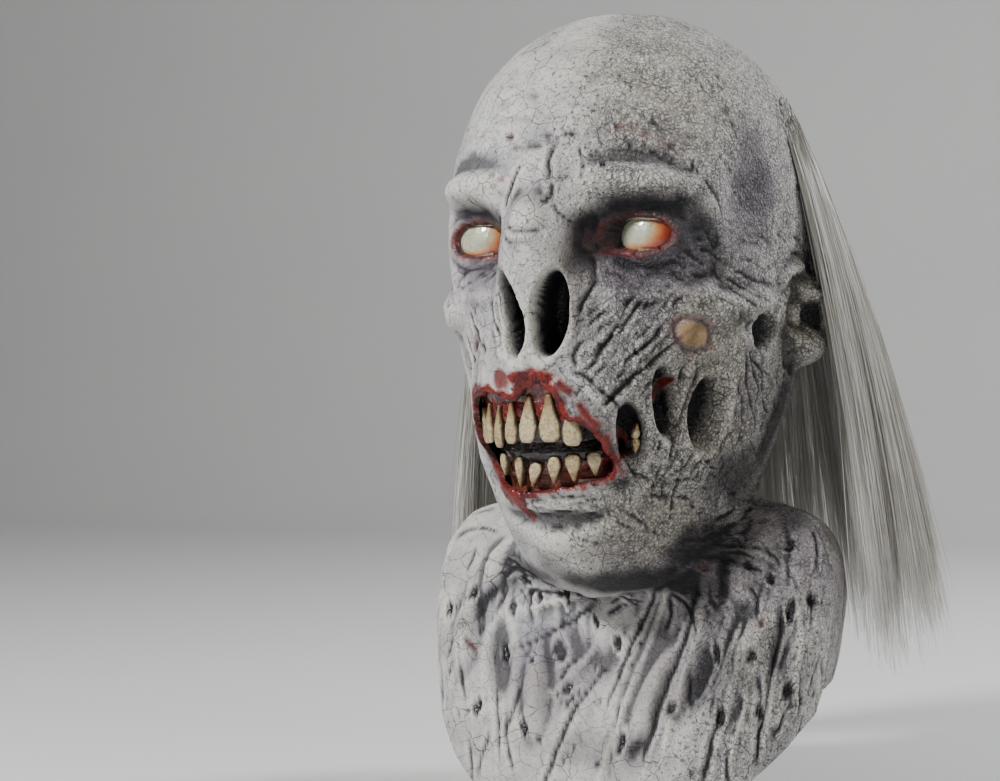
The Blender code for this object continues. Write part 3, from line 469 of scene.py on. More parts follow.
# Areas of airbrushed paint and of painted light and shade, sizes in mm. Kinds: dark, black, blood,
# bruise, and the warm and cool tints; dark and black are partly painted shade, warm and cool partly
# painted light and shade.
# Columns: kind, around, down, half width, half height, tilt, strength
PAINT = (
    # black and dark in the sockets: partly the mask's airbrushed shading, partly painted shadow of the
    # brows over the tops of the eyes
    ("black", 31, .276, 36, 14, 5, .93), ("black", 51, .289, 12, 16, 20, .80),
    ("black", 15, .295, 10, 17, -10, .92), ("black", -24, .276, 22, 9, -4, .78),
    ("black", -13, .294, 7, 14, 10, .80), ("black", 34, .318, 26, 5, 0, .70),
    ("dark", 33, .287, 38, 21, 4, .95), ("dark", 16, .296, 14, 22, -10, .95),
    ("dark", 27, .272, 32, 13, 4, .9), ("dark", -24, .282, 28, 17, -4, .8),
    ("dark", -13, .296, 10, 18, 10, .8), ("dark", 56, .300, 10, 16, 0, .6),
    ("bruise", 34, .306, 52, 33, 0, 1.0), ("bruise", -25, .306, 40, 30, 0, .8),
    # cool tint round the far eye: partly paint tone, partly painted cool light
    ("cool_tone_and_light", -28, .310, 44, 40, 0, .9),
    ("bruise", 70, .235, 20, 40, 0, .9), ("bruise", 64, .290, 16, 24, 0, .6),
    ("bruise", 40, .205, 16, 9, -30, .35), ("bruise", 74, .420, 14, 30, 0, .5),
    ("bruise", 12, .355, 8, 24, -10, .35), ("bruise", -26, .400, 10, 20, 10, .4),
    ("blood", 0, .430, 14, 5, 0, 1.0), ("blood", 4, .436, 5, 7, 0, 1.0),
    ("blood", -9, .432, 5, 7, 20, .9), ("blood", -24, .440, 12, 6, 0, .9),
    ("blood", -17, .552, 5, 11, -38, 1.0), ("blood", -14, .568, 4.5, 11, 14, 1.0),
    ("blood", 47, .438, 3.4, 9, -24, 1.0), ("blood", 45, .468, 2.6, 9, 10, .9),
    ("blood", 48.5, .379, 16, 11, -32, .5), ("blood", 28, .311, 20, 3.0, 4, .8),
    ("blood", 16, .300, 4, 6, 0, .5), ("blood", -20, .306, 14, 2.6, 0, .8),
    # warm and cool rows: partly paint tone and partly painted light and shade, warmer and darker on the
    # shaded near side, cooler where the key light falls
    ("warm_tone_and_shade", 45, .160, 60, 60, 0, 1.0), ("warm_tone_and_shade", 60, .430, 44, 70, 0, .9),
    ("warm_tone_and_shade", 40, .600, 50, 34, 0, .8), ("warm_tone_and_shade", 90, .350, 24, 30, 0, .9),
    ("warm_tone_and_shade", 12, .320, 10, 26, 0, .7), ("warm_tone_and_shade", 48, .345, 18, 16, 0, .9),
    ("warm_tone_and_shade", 6, .605, 26, 12, 0, .7), ("warm_tone_and_shade", 180, .400, 90, 120, 0, .8),
    ("cool_tone_and_light", -30, .200, 50, 60, 0, .7), ("cool_tone_and_light", -20, .830, 60, 50, 0, .7),
    ("cool_tone_and_light", 28, .352, 18, 8, 0, .6), ("cool_tone_and_light", 0, .225, 30, 20, 0, .5),
    # dark rows here: painted shadow under the jaw and the chin, and painted shade in the ear's hollow
    # and below the ear
    ("dark", 80, .570, 40, 20, 0, .8), ("dark", 20, .685, 60, 15, 0, 1.0),
    ("dark", -30, .690, 50, 12, 0, .8), ("dark", 77, .364, 8, 12, 0, .8),
    ("dark", 52, .690, 30, 18, 0, .9), ("dark", 96, .480, 14, 40, 0, .9),
    ("bruise", 40, .740, 40, 22, 0, .8), ("bruise", 62, .800, 46, 40, 0, .7),
    ("bruise", -12, .870, 44, 34, 0, .6), ("bruise", 20, .860, 34, 44, 0, .6),
    # the first three dark rows here: painted shade in the bib's folds
    ("dark", 34, .870, 12, 34, -12, .5), ("dark", 56, .900, 14, 26, 0, .5),
    ("dark", 4, .930, 40, 14, 0, .4), ("dark", 0, .262, 16, 7, 0, .2),
)


def clip01(value):
    return np.clip(value, 0, 1)


def ease(value):
    """0 to 1 with soft ends."""
    value = clip01(value)
    return value * value * (3 - 2 * value)


def section_rows():
    """All sections in metres, the chin's drop carried into the bib's rows."""
    head_scale = np.array((-FACE_DEPTH, -HEAD_HEIGHT, HEAD_WIDTH / 2, BACK_DEPTH,
                           -HEAD_HEIGHT, BACK_DEPTH, -HEAD_HEIGHT))
    bib_scale = np.array((-BIB_FRONT, -BIB_DROP, BIB_WIDTH / 2, BIB_BACK,
                          -BIB_DROP, BIB_BACK, -BIB_DROP))
    bib = np.array(BIB_SECTIONS) * bib_scale
    bib[:, (1, 4, 6)] -= HEAD_HEIGHT
    rows = np.concatenate((np.array(HEAD_SECTIONS) * head_scale, bib))
    rows[:, (1, 4, 6)] += WALL
    return rows


ROWS = section_rows()


def rails(down):
    """The section at a share of the way down, on smooth curves between rows."""
    last = len(ROWS) - 1
    at = np.clip(np.asarray(down, float) * last, 0, last - 1e-9)
    i = at.astype(int)
    f = (at - i)[..., None]
    a = ROWS[np.maximum(i - 1, 0)]
    b = ROWS[i]
    c = ROWS[np.minimum(i + 1, last)]
    d = ROWS[np.minimum(i + 2, last)]
    return 0.5 * (2 * b + (c - a) * f + (2 * a - 5 * b + 4 * c - d) * f ** 2
                  + (3 * b - a - 3 * c + d) * f ** 3)


def plain_surface(around, down):
    """The smooth head and bib without its forms; around is in radians."""
    around, down = np.broadcast_arrays(np.asarray(around, float), np.asarray(down, float))
    front, front_z, side, side_y, side_z, back, back_z = np.moveaxis(rails(down), -1, 0)
    cosine = np.cos(around)
    sine = np.sin(around)
    ahead = cosine >= 0
    power = 2 / np.where(ahead, FRONT_ROUNDNESS, BACK_ROUNDNESS)
    along = np.abs(cosine) ** power
    slope = along ** 1.5
    x = side * np.sign(sine) * np.abs(sine) ** power
    y = side_y + (np.where(ahead, front, back) - side_y) * along
    z = side_z + (np.where(ahead, front_z, back_z) - side_z) * slope
    low = np.clip((down - 0.75) / 0.25, 0, 1)
    z = z - HEM_SKEW * low * np.where(ahead, sine, 0)
    return np.stack((x, y, z), -1)


def surface_and_normal(around, down):
    """Points of the plain surface and their outward normals."""
    step = 1e-3
    around, down = np.broadcast_arrays(np.asarray(around, float), np.asarray(down, float))
    lower = plain_surface(around, np.minimum(down + step, 1))
    upper = plain_surface(around, np.maximum(down - step, 0))
    sideways = plain_surface(around + step, down) - plain_surface(around - step, down)
    normal = np.cross(lower - upper, sideways)
    length = np.linalg.norm(normal, axis=-1, keepdims=True)
    normal = np.where(length > 1e-12, normal / np.maximum(length, 1e-12), (0.0, 0.0, 1.0))
    return plain_surface(around, down), normal


def local_frame(around_degrees, down):
    """Centre, sideways, upwards and outward directions at a place of the surface."""
    centre, outward = surface_and_normal(math.radians(around_degrees), down)
    sideways = np.cross((0.0, 0.0, 1.0), outward)
    sideways /= np.linalg.norm(sideways)
    return centre, sideways, np.cross(outward, sideways), outward


def oval_distance(points, around, down, half_width, half_height, tilt):
    """0 at the middle of an oval on the surface, 1 on its rim; sizes in metres."""
    centre, sideways, upwards, outward = local_frame(around, down)
    offset = points - centre
    turn = math.radians(tilt)
    a = offset @ sideways
    b = offset @ upwards
    wide = (a * math.cos(turn) + b * math.sin(turn)) / half_width
    tall = (b * math.cos(turn) - a * math.sin(turn)) / half_height
    behind = (offset @ outward) <= -FORM_REACH * HEAD_WIDTH
    return np.hypot(wide, tall) + 99.0 * behind


def form_push(points):
    """How far all forms together push each point outwards, in metres."""
    signs = {"both": (1, -1), "one": (1,), "left": (1,), "right": (-1,)}
    total = np.zeros(points.shape[:-1])
    for sides, around, down, half_width, half_height, tilt, push, flat in FORMS:
        for sign in signs[sides]:
            distance = oval_distance(points, sign * around, down, half_width * HEAD_WIDTH,
                                     half_height * HEAD_WIDTH, sign * tilt)
            total += push * HEAD_WIDTH * ease((1 - distance) / (1 - flat))
    return total


def eye_centre(sign):
    return np.array((sign * EYE_SPACING / 2, -EYE_SETBACK, WALL - EYE_DROP))


def round_eyes(points, clearance):
    """Lift points off both eyes, so that lids lie over them."""
    reach = EYE_DIAMETER / 2 + clearance
    for sign in (1, -1):
        centre = eye_centre(sign)
        offset = points - centre
        distance = np.linalg.norm(offset, axis=-1, keepdims=True)
        inside = (distance < reach) & (offset[..., 1:2] < reach / 2)
        points = np.where(inside, centre + offset / distance * reach, points)
    return points


def skin_points(around, down, depth=0.0):
    """Points of the sculpted skin, depth metres behind its outer face."""
    points, normal = surface_and_normal(around, down)
    pushed = points + normal * (form_push(points) - depth)[..., None]
    return round_eyes(pushed, SEAT_GAP + LID_PLAY + max(WALL - np.max(depth), 0))


def uneven(points, size, seed=0.0):
    """Smooth noise from about -1 to 1 at each point; size is in metres."""
    flat = points.reshape(-1, 3) / size + seed
    return np.array([noise.noise(Vector(p)) for p in flat]).reshape(points.shape[:-1])


def wandering(points, size, reach):
    """The points shifted a little, so that lines and rims wander."""
    flat = points.reshape(-1, 3) / size
    shift = np.array([noise.noise_vector(Vector(p)) for p in flat])
    return points + reach * shift.reshape(points.shape)


def crowded(count, density):
    """Places from 0 to 1, closer together where the density is higher."""
    fine = np.linspace(0, 1, 3000)
    weight = density(fine)
    run = np.concatenate(((0,), np.cumsum((weight[1:] + weight[:-1]) / 2)))
    return np.interp(np.linspace(0, 1, count), run / run[-1], fine)


def bent_line(row, count=14):
    """Points on the plain surface along one line of the table."""
    across, below = 0.0016, 0.55      # metres per degree, and from crown to hem
    a = np.array((row[0] * across, row[1] * below))
    b = np.array((row[2] * across, row[3] * below))
    side = np.array((b[1] - a[1], a[0] - b[0]))
    middle = (a + b) / 2 - side * row[4] * 2
    t = np.linspace(0, 1, count)[:, None]
    track = (1 - t) ** 2 * a + 2 * t * (1 - t) * middle + t ** 2 * b
    return plain_surface(np.radians(track[:, 0] / across), track[:, 1] / below)


def line_distance(points, track):
    """Distance from each point to a track, and the share along it."""
    best = np.full(len(points), 9.0)
    share = np.zeros(len(points))
    for i, (a, b) in enumerate(zip(track[:-1], track[1:])):
        step = b - a
        t = clip01((points - a) @ step / (step @ step))
        distance = np.linalg.norm(points - a - t[:, None] * step, axis=1)
        nearer = distance < best
        best = np.where(nearer, distance, best)
        share = np.where(nearer, (i + t) / (len(track) - 1), share)
    return best, share


def near_track(points, track, reach):
    low = track.min(0) - reach
    high = track.max(0) + reach
    return np.nonzero(((points > low) & (points < high)).all(1))[0]


def quad_rows(rows, columns, start=0, closed=True):
    """Quads of a grid of points stored row by row, as an array."""
    row = np.arange(rows - 1)[:, None] * columns
    column = np.arange(columns if closed else columns - 1)[None]
    after = (column + 1) % columns
    here = start + row + column
    return np.stack((here, start + row + after, start + row + columns + after,
                     here + columns), -1).reshape(-1, 4)


def new_piece(name, points, faces, mat, smooth=True):
    """A mesh object that is one piece of the dressed mask."""
    mesh = bpy.data.meshes.new(name)
    mesh.from_pydata([tuple(p) for p in points], [], [tuple(f) for f in faces])
    mesh.materials.append(mat)
    if smooth:
        mesh.shade_smooth()
    piece = bpy.data.objects.new(name, mesh)
    bpy.context.scene.collection.objects.link(piece)
    return piece


def paint_points(piece, name, red, green, blue):
    """Three painted masks kept as one colour for each point."""
    layer = piece.data.color_attributes.new(name, "FLOAT_COLOR", "POINT")
    values = np.ones((len(piece.data.vertices), 4), np.float32)
    for channel, mask in enumerate((red, green, blue)):
        values[:len(mask), channel] = mask
    layer.data.foreach_set("color", values.ravel())


def seat(piece, slot, *nodes):
    """The piece rides on the mask and stands for its solids."""
    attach(piece, "root")
    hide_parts(*nodes)
    return piece


# Shader helpers

def feed(tree, socket, value):
    """Link a socket into another, or set it to a number or a colour."""
    if isinstance(value, bpy.types.NodeSocket):
        tree.links.new(value, socket)
    elif isinstance(value, tuple) and len(value) == 3 and socket.type == "RGBA":
        socket.default_value = (*value, 1.0)
    else:
        socket.default_value = value


def calc(tree, operation, a, b=0.0, clamp=False):
    node = tree.nodes.new("ShaderNodeMath")
    node.operation = operation
    node.use_clamp = clamp
    feed(tree, node.inputs[0], a)
    feed(tree, node.inputs[1], b)
    return node.outputs[0]


def blend(tree, factor, a, b, mode="MIX"):
    node = tree.nodes.new("ShaderNodeMix")
    node.data_type = "RGBA"
    node.blend_type = mode
    feed(tree, node.inputs["Factor"], factor)
    feed(tree, node.inputs[6], a)
    feed(tree, node.inputs[7], b)
    return node.outputs[2]


def ramp(tree, value, low, high, to_low=0.0, to_high=1.0):
    node = tree.nodes.new("ShaderNodeMapRange")
    node.interpolation_type = "SMOOTHSTEP"
    for socket, number in zip(node.inputs, (value, low, high, to_low, to_high)):
        feed(tree, socket, number)
    return node.outputs[0]


def noise_at(tree, vector, scale, detail=4.0, rough=0.5):
    node = tree.nodes.new("ShaderNodeTexNoise")
    feed(tree, node.inputs["Vector"], vector)
    feed(tree, node.inputs["Scale"], scale)
    node.inputs["Detail"].default_value = detail
    node.inputs["Roughness"].default_value = rough
    return node


def new_group(name, inputs, outputs):
    """An empty shader group; inputs are (name, value), outputs are names."""
    tree = bpy.data.node_groups.new(name, "ShaderNodeTree")
    for label, value in inputs:
        tree.interface.new_socket(label, in_out="INPUT",
                                  socket_type="NodeSocketFloat").default_value = value
    for label in outputs:
        tree.interface.new_socket(label, in_out="OUTPUT", socket_type="NodeSocketFloat")
    return tree, tree.nodes.new("NodeGroupInput").outputs, tree.nodes.new("NodeGroupOutput").inputs


def place(tree, group, **values):
    """One use of a group in a material, with its own values."""
    node = tree.nodes.new("ShaderNodeGroup")
    node.node_tree = group
    for label, value in values.items():
        feed(tree, node.inputs[label.replace("_", " ")], value)
    return node.outputs


def object_place(tree):
    return tree.nodes.new("ShaderNodeTexCoord").outputs["Object"]


def shifted_place(tree, scale, amount):
    """Object coordinates pushed about by noise."""
    where = object_place(tree)
    bend = noise_at(tree, where, scale, 3.0)
    centred = tree.nodes.new("ShaderNodeVectorMath")
    centred.operation = "SUBTRACT"
    tree.links.new(bend.outputs["Color"], centred.inputs[0])
    centred.inputs[1].default_value = (0.5, 0.5, 0.5)
    shift = tree.nodes.new("ShaderNodeVectorMath")
    shift.operation = "SCALE"
    tree.links.new(centred.outputs[0], shift.inputs[0])
    tree.links.new(amount, shift.inputs["Scale"])
    moved = tree.nodes.new("ShaderNodeVectorMath")
    tree.links.new(where, moved.inputs[0])
    tree.links.new(shift.outputs[0], moved.inputs[1])
    return moved.outputs[0]


def make_crackle():
    """Dried paint and latex: a net of wandering cracks between small islands."""
    tree, given, result = new_group("crackle", (("Scale", 300.0), ("Width", 0.08), ("Warp", 0.002)),
                                    ("Lines", "Height", "Island"))
    place_of = shifted_place(tree, calc(tree, "MULTIPLY", given["Scale"], 0.8), given["Warp"])
    cells = tree.nodes.new("ShaderNodeTexVoronoi")
    cells.feature = "DISTANCE_TO_EDGE"
    tree.links.new(place_of, cells.inputs["Vector"])
    tree.links.new(given["Scale"], cells.inputs["Scale"])
    tone = tree.nodes.new("ShaderNodeTexVoronoi")
    tree.links.new(place_of, tone.inputs["Vector"])
    tree.links.new(given["Scale"], tone.inputs["Scale"])
    grey = tree.nodes.new("ShaderNodeSeparateColor")
    tree.links.new(tone.outputs["Color"], grey.inputs[0])
    edge = cells.outputs["Distance"]
    start = calc(tree, "MULTIPLY", given["Width"], 0.3)
    feed(tree, result["Lines"], ramp(tree, edge, start, given["Width"], 1.0, 0.0))
    feed(tree, result["Height"], ramp(tree, edge, 0.0, 0.30))
    feed(tree, result["Island"], grey.outputs[0])
    return tree


def make_worms():
    """Curling worm-like channels between low rounded ridges."""
    tree, given, result = new_group("worm_channels", (("Scale", 200.0), ("Width", 0.06)),
                                    ("Lines", "Height"))
    cloud = noise_at(tree, object_place(tree), given["Scale"], 1.5, 0.5)
    off = calc(tree, "ABSOLUTE", calc(tree, "SUBTRACT", cloud.outputs["Fac"], 0.5))
    start = calc(tree, "MULTIPLY", given["Width"], 0.35)
    feed(tree, result["Lines"], ramp(tree, off, start, given["Width"], 1.0, 0.0))
    feed(tree, result["Height"], ramp(tree, off, 0.0, 0.10))
    return tree


def make_mottle():
    """Soft patches: noise between two levels."""
    tree, given, result = new_group("mottle", (("Scale", 40.0), ("Low", 0.4), ("High", 0.6)), ("Mask",))
    cloud = noise_at(tree, object_place(tree), given["Scale"], 6.0, 0.6)
    feed(tree, result["Mask"], ramp(tree, cloud.outputs["Fac"], given["Low"], given["High"]))
    return tree


def new_material(name):
    mat = bpy.data.materials.new(name)
    mat.use_nodes = True
    return mat, mat.node_tree, mat.node_tree.nodes["Principled BSDF"].inputs


def painted(tree, name):
    """The three masks painted on the points of a mesh."""
    attribute = tree.nodes.new("ShaderNodeAttribute")
    attribute.attribute_name = name
    split = tree.nodes.new("ShaderNodeSeparateColor")
    tree.links.new(attribute.outputs["Color"], split.inputs[0])
    return split.outputs


def bump(tree, height, strength, distance):
    node = tree.nodes.new("ShaderNodeBump")
    node.inputs["Strength"].default_value = strength
    node.inputs["Distance"].default_value = distance
    tree.links.new(height, node.inputs["Height"])
    return node.outputs["Normal"]


def latex_material(groups):
    """Painted latex: bone grey, airbrushed, cracked, washed dark in its folds, with painted shade in
    its hollows and sockets and painted warm and cool light on its sides.
    """
    mat, tree, shader = new_material("painted_latex")
    wash_and_shade, blood, bruise = painted(tree, "washes_and_shade")
    bone, cracked, wet = painted(tree, "finish")
    raised, warm_tone_and_shade, cool_tone_and_light = painted(tree, "tones")
    patches = place(tree, groups["mottle"], Scale=36.0, Low=0.38, High=0.62)["Mask"]
    clouds = place(tree, groups["mottle"], Scale=110.0, Low=0.42, High=0.64)["Mask"]
    specks = place(tree, groups["mottle"], Scale=900.0, Low=0.46, High=0.62)["Mask"]
    dots = place(tree, groups["mottle"], Scale=560.0, Low=0.565, High=0.62)["Mask"]
    fine = place(tree, groups["crackle"], Scale=410.0, Width=0.17, Warp=0.0040)
    wide = place(tree, groups["crackle"], Scale=85.0, Width=0.020, Warp=0.012)
    worms = place(tree, groups["worms"], Scale=300.0, Width=0.030)
    base = blend(tree, patches, (0.50, 0.485, 0.475), (0.36, 0.345, 0.355))
    # cool lilac far side: partly paint tone, partly painted cool light
    base = blend(tree, calc(tree, "MULTIPLY", cool_tone_and_light, 0.60), base,
                 blend(tree, clouds, (0.45, 0.465, 0.52), (0.25, 0.25, 0.34)))
    # warmer, darker near side: partly paint tone, partly painted shade and warm light
    base = blend(tree, calc(tree, "MULTIPLY", warm_tone_and_shade, 0.85), base,
                 blend(tree, fine["Island"], (0.30, 0.28, 0.215), (0.47, 0.44, 0.335)))
    base = blend(tree, calc(tree, "MULTIPLY", clouds, 0.28), base, (0.24, 0.23, 0.245))
    base = blend(tree, calc(tree, "MULTIPLY", specks, 0.30), base, (0.56, 0.54, 0.48))
    base = blend(tree, calc(tree, "MULTIPLY", raised, 0.80), base, (0.66, 0.64, 0.575))
    base = blend(tree, calc(tree, "MULTIPLY", bruise, 0.80), base,
                 blend(tree, clouds, (0.125, 0.10, 0.145), (0.070, 0.050, 0.075)))
    dotted = calc(tree, "MULTIPLY", dots, ramp(tree, cracked, 0.10, 0.6, 0.30, 0.85))
    base = blend(tree, dotted, base, (0.095, 0.088, 0.090))
    lines = calc(tree, "MAXIMUM", worms["Lines"], fine["Lines"])
    lines = calc(tree, "MULTIPLY", lines, ramp(tree, cracked, 0.25, 0.95, 0.0, 0.78))
    lines = calc(tree, "MULTIPLY", lines, ramp(tree, clouds, 0.0, 0.8, 0.70, 1.0))
    base = blend(tree, lines, base, (0.035, 0.031, 0.034))
    far_lines = calc(tree, "MULTIPLY", wide["Lines"], ramp(tree, patches, 0.2, 0.8, 0.25, 0.85))
    base = blend(tree, far_lines, base, (0.060, 0.053, 0.065))
    base = blend(tree, bone, base, blend(tree, clouds, (0.58, 0.48, 0.24), (0.36, 0.26, 0.11)))
    red = blend(tree, clouds, (0.20, 0.012, 0.008), (0.055, 0.005, 0.005))
    red = blend(tree, calc(tree, "MULTIPLY", worms["Lines"], 0.6), red, (0.05, 0.004, 0.004))
    base = blend(tree, blood, base, red)
    # nearly black where washed and shaded: partly the mask's dark paint, partly painted shade in
    # hollows, creases and sockets
    base = blend(tree, wash_and_shade, base, (0.010, 0.009, 0.012))
    feed(tree, shader["Base Color"], base)
    dull = ramp(tree, wet, 0.25, 0.9, 0.60, 0.17)
    feed(tree, shader["Roughness"], calc(tree, "ADD", dull, calc(tree, "MULTIPLY", specks, 0.08)))
    shader["Specular IOR Level"].default_value = 0.40
    depth = calc(tree, "ADD", calc(tree, "MULTIPLY", fine["Height"], 0.60),
                 calc(tree, "MULTIPLY", worms["Height"], 0.40))
    depth = calc(tree, "MULTIPLY", depth, ramp(tree, cracked, 0.1, 0.9, 0.15, 1.0))
    depth = calc(tree, "ADD", depth, calc(tree, "MULTIPLY", specks, 0.20))
    depth = calc(tree, "SUBTRACT", depth, calc(tree, "MULTIPLY", dotted, 0.45))
    depth = calc(tree, "SUBTRACT", depth, calc(tree, "MULTIPLY", wide["Lines"], 0.35))
    feed(tree, shader["Normal"], bump(tree, depth, 0.85, 0.0008))
    return mat


def eye_material(groups):
    """Milky glazed eyes with inflamed rims."""
    mat, tree, shader = new_material("milky_glaze")
    rim, lower, haze = painted(tree, "eye_paint")
    milk = place(tree, groups["mottle"], Scale=260.0, Low=0.40, High=0.62)["Mask"]
    veins = place(tree, groups["crackle"], Scale=230.0, Width=0.06, Warp=0.006)["Lines"]
    base = blend(tree, milk, (0.46, 0.48, 0.35), (0.29, 0.34, 0.25))
    base = blend(tree, haze, base, (0.44, 0.48, 0.37))
    base = blend(tree, ramp(tree, rim, 0.05, 0.50), base, (0.50, 0.25, 0.09))
    base = blend(tree, ramp(tree, rim, 0.30, 0.75), base, (0.30, 0.035, 0.012))
    base = blend(tree, ramp(tree, rim, 0.68, 1.0), base, (0.055, 0.005, 0.004))
    base = blend(tree, calc(tree, "MULTIPLY", veins, calc(tree, "MULTIPLY", lower, 0.35)), base,
                 (0.40, 0.05, 0.03))
    feed(tree, shader["Base Color"], base)
    feed(tree, shader["Roughness"], ramp(tree, milk, 0.0, 1.0, 0.14, 0.24))
    shader["Coat Weight"].default_value = 1.0
    shader["Coat Roughness"].default_value = 0.04
    feed(tree, shader["Normal"], bump(tree, milk, 0.25, 0.0006))
    return mat


def mouth_material(groups):
    """Wet black mouth with raw gums."""
    mat, tree, shader = new_material("wet_mouth")
    gum, lip, _ = painted(tree, "mouth_paint")
    clouds = place(tree, groups["mottle"], Scale=240.0, Low=0.40, High=0.60)["Mask"]
    grain = place(tree, groups["worms"], Scale=420.0, Width=0.05)["Height"]
    base = blend(tree, clouds, (0.007, 0.006, 0.007), (0.016, 0.009, 0.009))
    flesh = blend(tree, clouds, (0.22, 0.018, 0.012), (0.05, 0.006, 0.006))
    base = blend(tree, calc(tree, "MULTIPLY", gum, 0.75), base, flesh)
    base = blend(tree, lip, base, (0.33, 0.13, 0.09))
    feed(tree, shader["Base Color"], base)
    feed(tree, shader["Roughness"], ramp(tree, clouds, 0.0, 1.0, 0.10, 0.24))
    shader["Coat Weight"].default_value = 0.6
    shader["Coat Roughness"].default_value = 0.08
    feed(tree, shader["Normal"], bump(tree, grain, 0.6, 0.0007))
    return mat


def tooth_material(groups):
    """Old enamel: cream at the tip, brown at the root, cracked and stained."""
    mat, tree, shader = new_material("stained_enamel")
    root, side_dark, tone = painted(tree, "tooth_paint")
    clouds = place(tree, groups["mottle"], Scale=420.0, Low=0.42, High=0.62)["Mask"]
    grime = place(tree, groups["mottle"], Scale=700.0, Low=0.52, High=0.64)["Mask"]
    cracks = place(tree, groups["crackle"], Scale=420.0, Width=0.07, Warp=0.005)["Lines"]
    base = blend(tree, clouds, (0.50, 0.40, 0.20), (0.31, 0.215, 0.09))
    base = blend(tree, tone, base, (0.57, 0.50, 0.32))
    base = blend(tree, calc(tree, "MULTIPLY", grime, 0.7), base, (0.20, 0.12, 0.045))
    base = blend(tree, ramp(tree, root, 0.10, 0.95), base, (0.20, 0.11, 0.035))
    # darker towards each tooth's sides, where it meets its neighbours
    base = blend(tree, ramp(tree, side_dark, 0.25, 0.9), base, (0.050, 0.026, 0.013))
    base = blend(tree, calc(tree, "MULTIPLY", cracks, 0.40), base, (0.13, 0.07, 0.03))
    feed(tree, shader["Base Color"], base)
    feed(tree, shader["Roughness"], ramp(tree, clouds, 0.0, 1.0, 0.22, 0.36))
    shader["Coat Weight"].default_value = 0.5
    shader["Coat Roughness"].default_value = 0.10
    feed(tree, shader["Normal"], bump(tree, clouds, 0.5, 0.0006))
    return mat


def hair_material(groups):
    """Ash-white crepe hair, darker and yellower in some strands."""
    mat, tree, shader = new_material("ash_hair")
    tone, yellow, along = painted(tree, "strand")
    patches = place(tree, groups["mottle"], Scale=60.0, Low=0.35, High=0.65)["Mask"]
    base = blend(tree, tone, (0.36, 0.36, 0.35), (0.90, 0.89, 0.87))
    base = blend(tree, calc(tree, "MULTIPLY", yellow, 0.5), base, (0.60, 0.53, 0.38))
    base = blend(tree, calc(tree, "MULTIPLY", patches, 0.25), base, (0.42, 0.41, 0.40))
    base = blend(tree, ramp(tree, along, 0.0, 0.12, 0.5, 0.0), base, (0.16, 0.15, 0.14))
    feed(tree, shader["Base Color"], base)
    feed(tree, shader["Roughness"], ramp(tree, tone, 0.0, 1.0, 0.48, 0.34))
    shader["Specular IOR Level"].default_value = 0.6
    return mat


# The sculpted skin

COLUMNS = 380            # outer face, all round
HEAD_ROWS = 178          # outer face, crown to neck
BIB_ROWS = 62            # outer face, neck to hem
NECK = 0.665             # share of crown to hem where the head meets the bib
INNER_STEP = 5           # the inner face keeps one point in this many each way
LID_SEAL = 0.0004        # the lids' wet edge stops this far off the eye
LID_REACH = 0.037        # edges this near an eye's centre are its lids


def column_angles():
    def density(share):
        degrees = share * 360 - 180
        return 1 + 3.4 * np.exp(-((degrees - 26) / 60) ** 2)
    places = crowded(COLUMNS + 1, density)[:-1]
    return np.radians(places * 360 - 180)


def row_places():
    def density(share):
        return 1 + 1.5 * np.exp(-((share * NECK - 0.40) / 0.15) ** 2)
    head = crowded(HEAD_ROWS + 1, density)[1:] * NECK
    return np.concatenate((head, np.linspace(NECK, 1, BIB_ROWS + 1)[1:]))


def smooth_outline(corners, count, jag, seed):
    """A closed outline through corner points, torn a little; metres in X and Z."""
    corners = np.array(corners)
    total = len(corners)
    at = np.linspace(0, total, count, endpoint=False)
    i = at.astype(int)
    f = (at - i)[:, None]
    a, b, c, d = (corners[(i + k) % total] for k in (-1, 0, 1, 2))
    curve = 0.5 * (2 * b + (c - a) * f + (2 * a - 5 * b + 4 * c - d) * f ** 2
                   + (3 * b - a - 3 * c + d) * f ** 3)
    along = np.roll(curve, -1, 0) - np.roll(curve, 1, 0)
    out = np.stack((along[:, 1], -along[:, 0]), 1) / np.linalg.norm(along, axis=1)[:, None]
    flat = np.stack((curve[:, 0], curve[:, 1], np.full(count, seed)), 1)
    tear = uneven(flat, 0.0040, seed) + 0.5 * uneven(flat, 0.0016, seed + 7)
    return curve + out * (tear * jag)[:, None]


def mouth_outline():
    corners = [(x * HEAD_WIDTH / 2, WALL - drop * HEAD_HEIGHT) for x, drop in MOUTH_EDGE]
    return smooth_outline(corners, 300, 0.0012, 3.0)


def lid_outline(sign):
    """The opening between an eye's lids: a lens with a fuller upper lid."""
    centre = eye_centre(sign)
    corners = []
    for step in range(16):
        angle = 2 * math.pi * step / 16
        height = LID_HEIGHT / 2 * (1.06 if math.sin(angle) > 0 else 0.94)
        x = LID_WIDTH / 2 * math.copysign(abs(math.cos(angle)) ** 0.9, math.cos(angle))
        corners.append((centre[0] + x, centre[2] + height * math.sin(angle)))
    return smooth_outline(corners, 120, 0.0004, 11.0 + sign)


